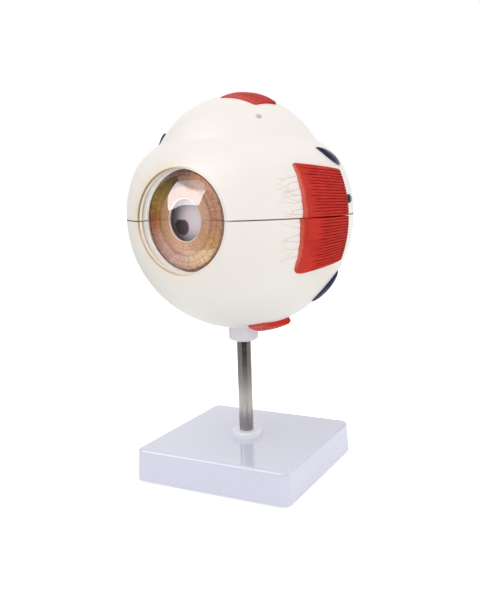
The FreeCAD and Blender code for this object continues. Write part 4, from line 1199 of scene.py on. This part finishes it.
def glowing(name, colour, strength, dim_above):
    """Paint for a card that shines; above a height in metres it shines less."""
    material = bpy.data.materials.new(name)
    material.use_nodes = True
    tree = material.node_tree
    height = put(tree, "SeparateXYZ", _0=local(tree), output=2)
    share = 1.0 - ramp_up(height, dim_above, dim_above + 0.08) * 0.6
    uneven = 0.9 + noise(local(tree), 2.0, 2.0) * 0.2
    glow = put(tree, "Emission", Color=colour, Strength=share * uneven * strength)
    plug(glow, tree.nodes["Material Output"].inputs["Surface"])
    return material


WINDOW_REACH = 0.9
dome_spot = globe_centre + Vector((0.0, -0.055, 0.012))
window_corners = ((-64, 50), (-37, 64), (18, 70), (29, 53), (17, 25), (-12, 25), (-42, 12), (-56, 30))
count = len(window_corners)
window_points = [dome_spot + Vector(turned_to(b, e)) * WINDOW_REACH for b, e in ((-12, 48),) + window_corners]
card("window_card", window_points, [(0, k + 1, (k + 1) % count + 1) for k in range(count)],
     glowing("window_glow", tint(252, 250, 255), 6.0, 0.80))

# %% [markdown]
# The steel rod needs something dark to mirror, or it would look like white plastic: a dark and a
# grey card curve round in front of it, low down. A large grey one on the floor and far out stands
# for the room, so that gloss shows the colours under it.

# %% Dark and grey cards
CARD_COLUMNS = 13
for name, grey, start, end, profile in (("dark_card", 0.015, -6, 72, ((0.150, 0.012), (0.150, 0.062))),
                                        ("grey_card", 0.42, -115, 160, ((0.165, 0.002), (0.165, 0.055))),
                                        ("room_card", 0.12, -120, 120, ((0.17, 0.003), (1.3, 0.003), (1.3, 1.8)))):
    felt_paint, tree, bsdf = new_material(name + "_felt", Roughness=0.9)
    felt = noise(local(tree), 40.0, 3.0)
    feed(bsdf, Base_Color=mix(felt, neutral(grey), neutral(grey + 0.04)))
    bearings = np.radians(np.linspace(start, end, CARD_COLUMNS))
    card_points = [(reach * math.sin(b), -reach * math.cos(b), z) for reach, z in profile for b in bearings]
    strips = [(k, k + 1, k + CARD_COLUMNS + 1, k + CARD_COLUMNS)
              for k in range(CARD_COLUMNS * (len(profile) - 1)) if (k + 1) % CARD_COLUMNS]
    card(name, card_points, strips, felt_paint)

# %% [markdown]
# The camera stands a little to the right of the eye's axis and looks slightly down, with a long
# lens, as for a catalogue picture. Its place, turn and lens were worked out from the size of the
# base plate and the globe.

# %% Camera
CAMERA_PLACE = Vector((0.2124, -0.3470, 0.1590))
YAW, PITCH, ROLL = math.radians(31.68), math.radians(8.85), math.radians(1.78)
forward = Vector((-math.sin(YAW) * math.cos(PITCH), math.cos(YAW) * math.cos(PITCH), -math.sin(PITCH)))
level_right = Vector((math.cos(YAW), math.sin(YAW), 0.0))
level_up = level_right.cross(forward)
right = level_right * math.cos(ROLL) - level_up * math.sin(ROLL)
up = level_up * math.cos(ROLL) + level_right * math.sin(ROLL)

camera_data = bpy.data.cameras.new("camera")
camera_data.sensor_width = 36.0
camera_data.lens = 44.54
camera_data.clip_start, camera_data.clip_end = 0.01, 20.0
camera = bpy.data.objects.new("camera", camera_data)
scene.collection.objects.link(camera)
camera.matrix_world = Matrix([(right[k], up[k], -forward[k], CAMERA_PLACE[k]) for k in range(3)] + [(0, 0, 0, 1)])
scene.camera = camera
print("lens", round(camera_data.lens, 2), "from", [round(side, 3) for side in CAMERA_PLACE])
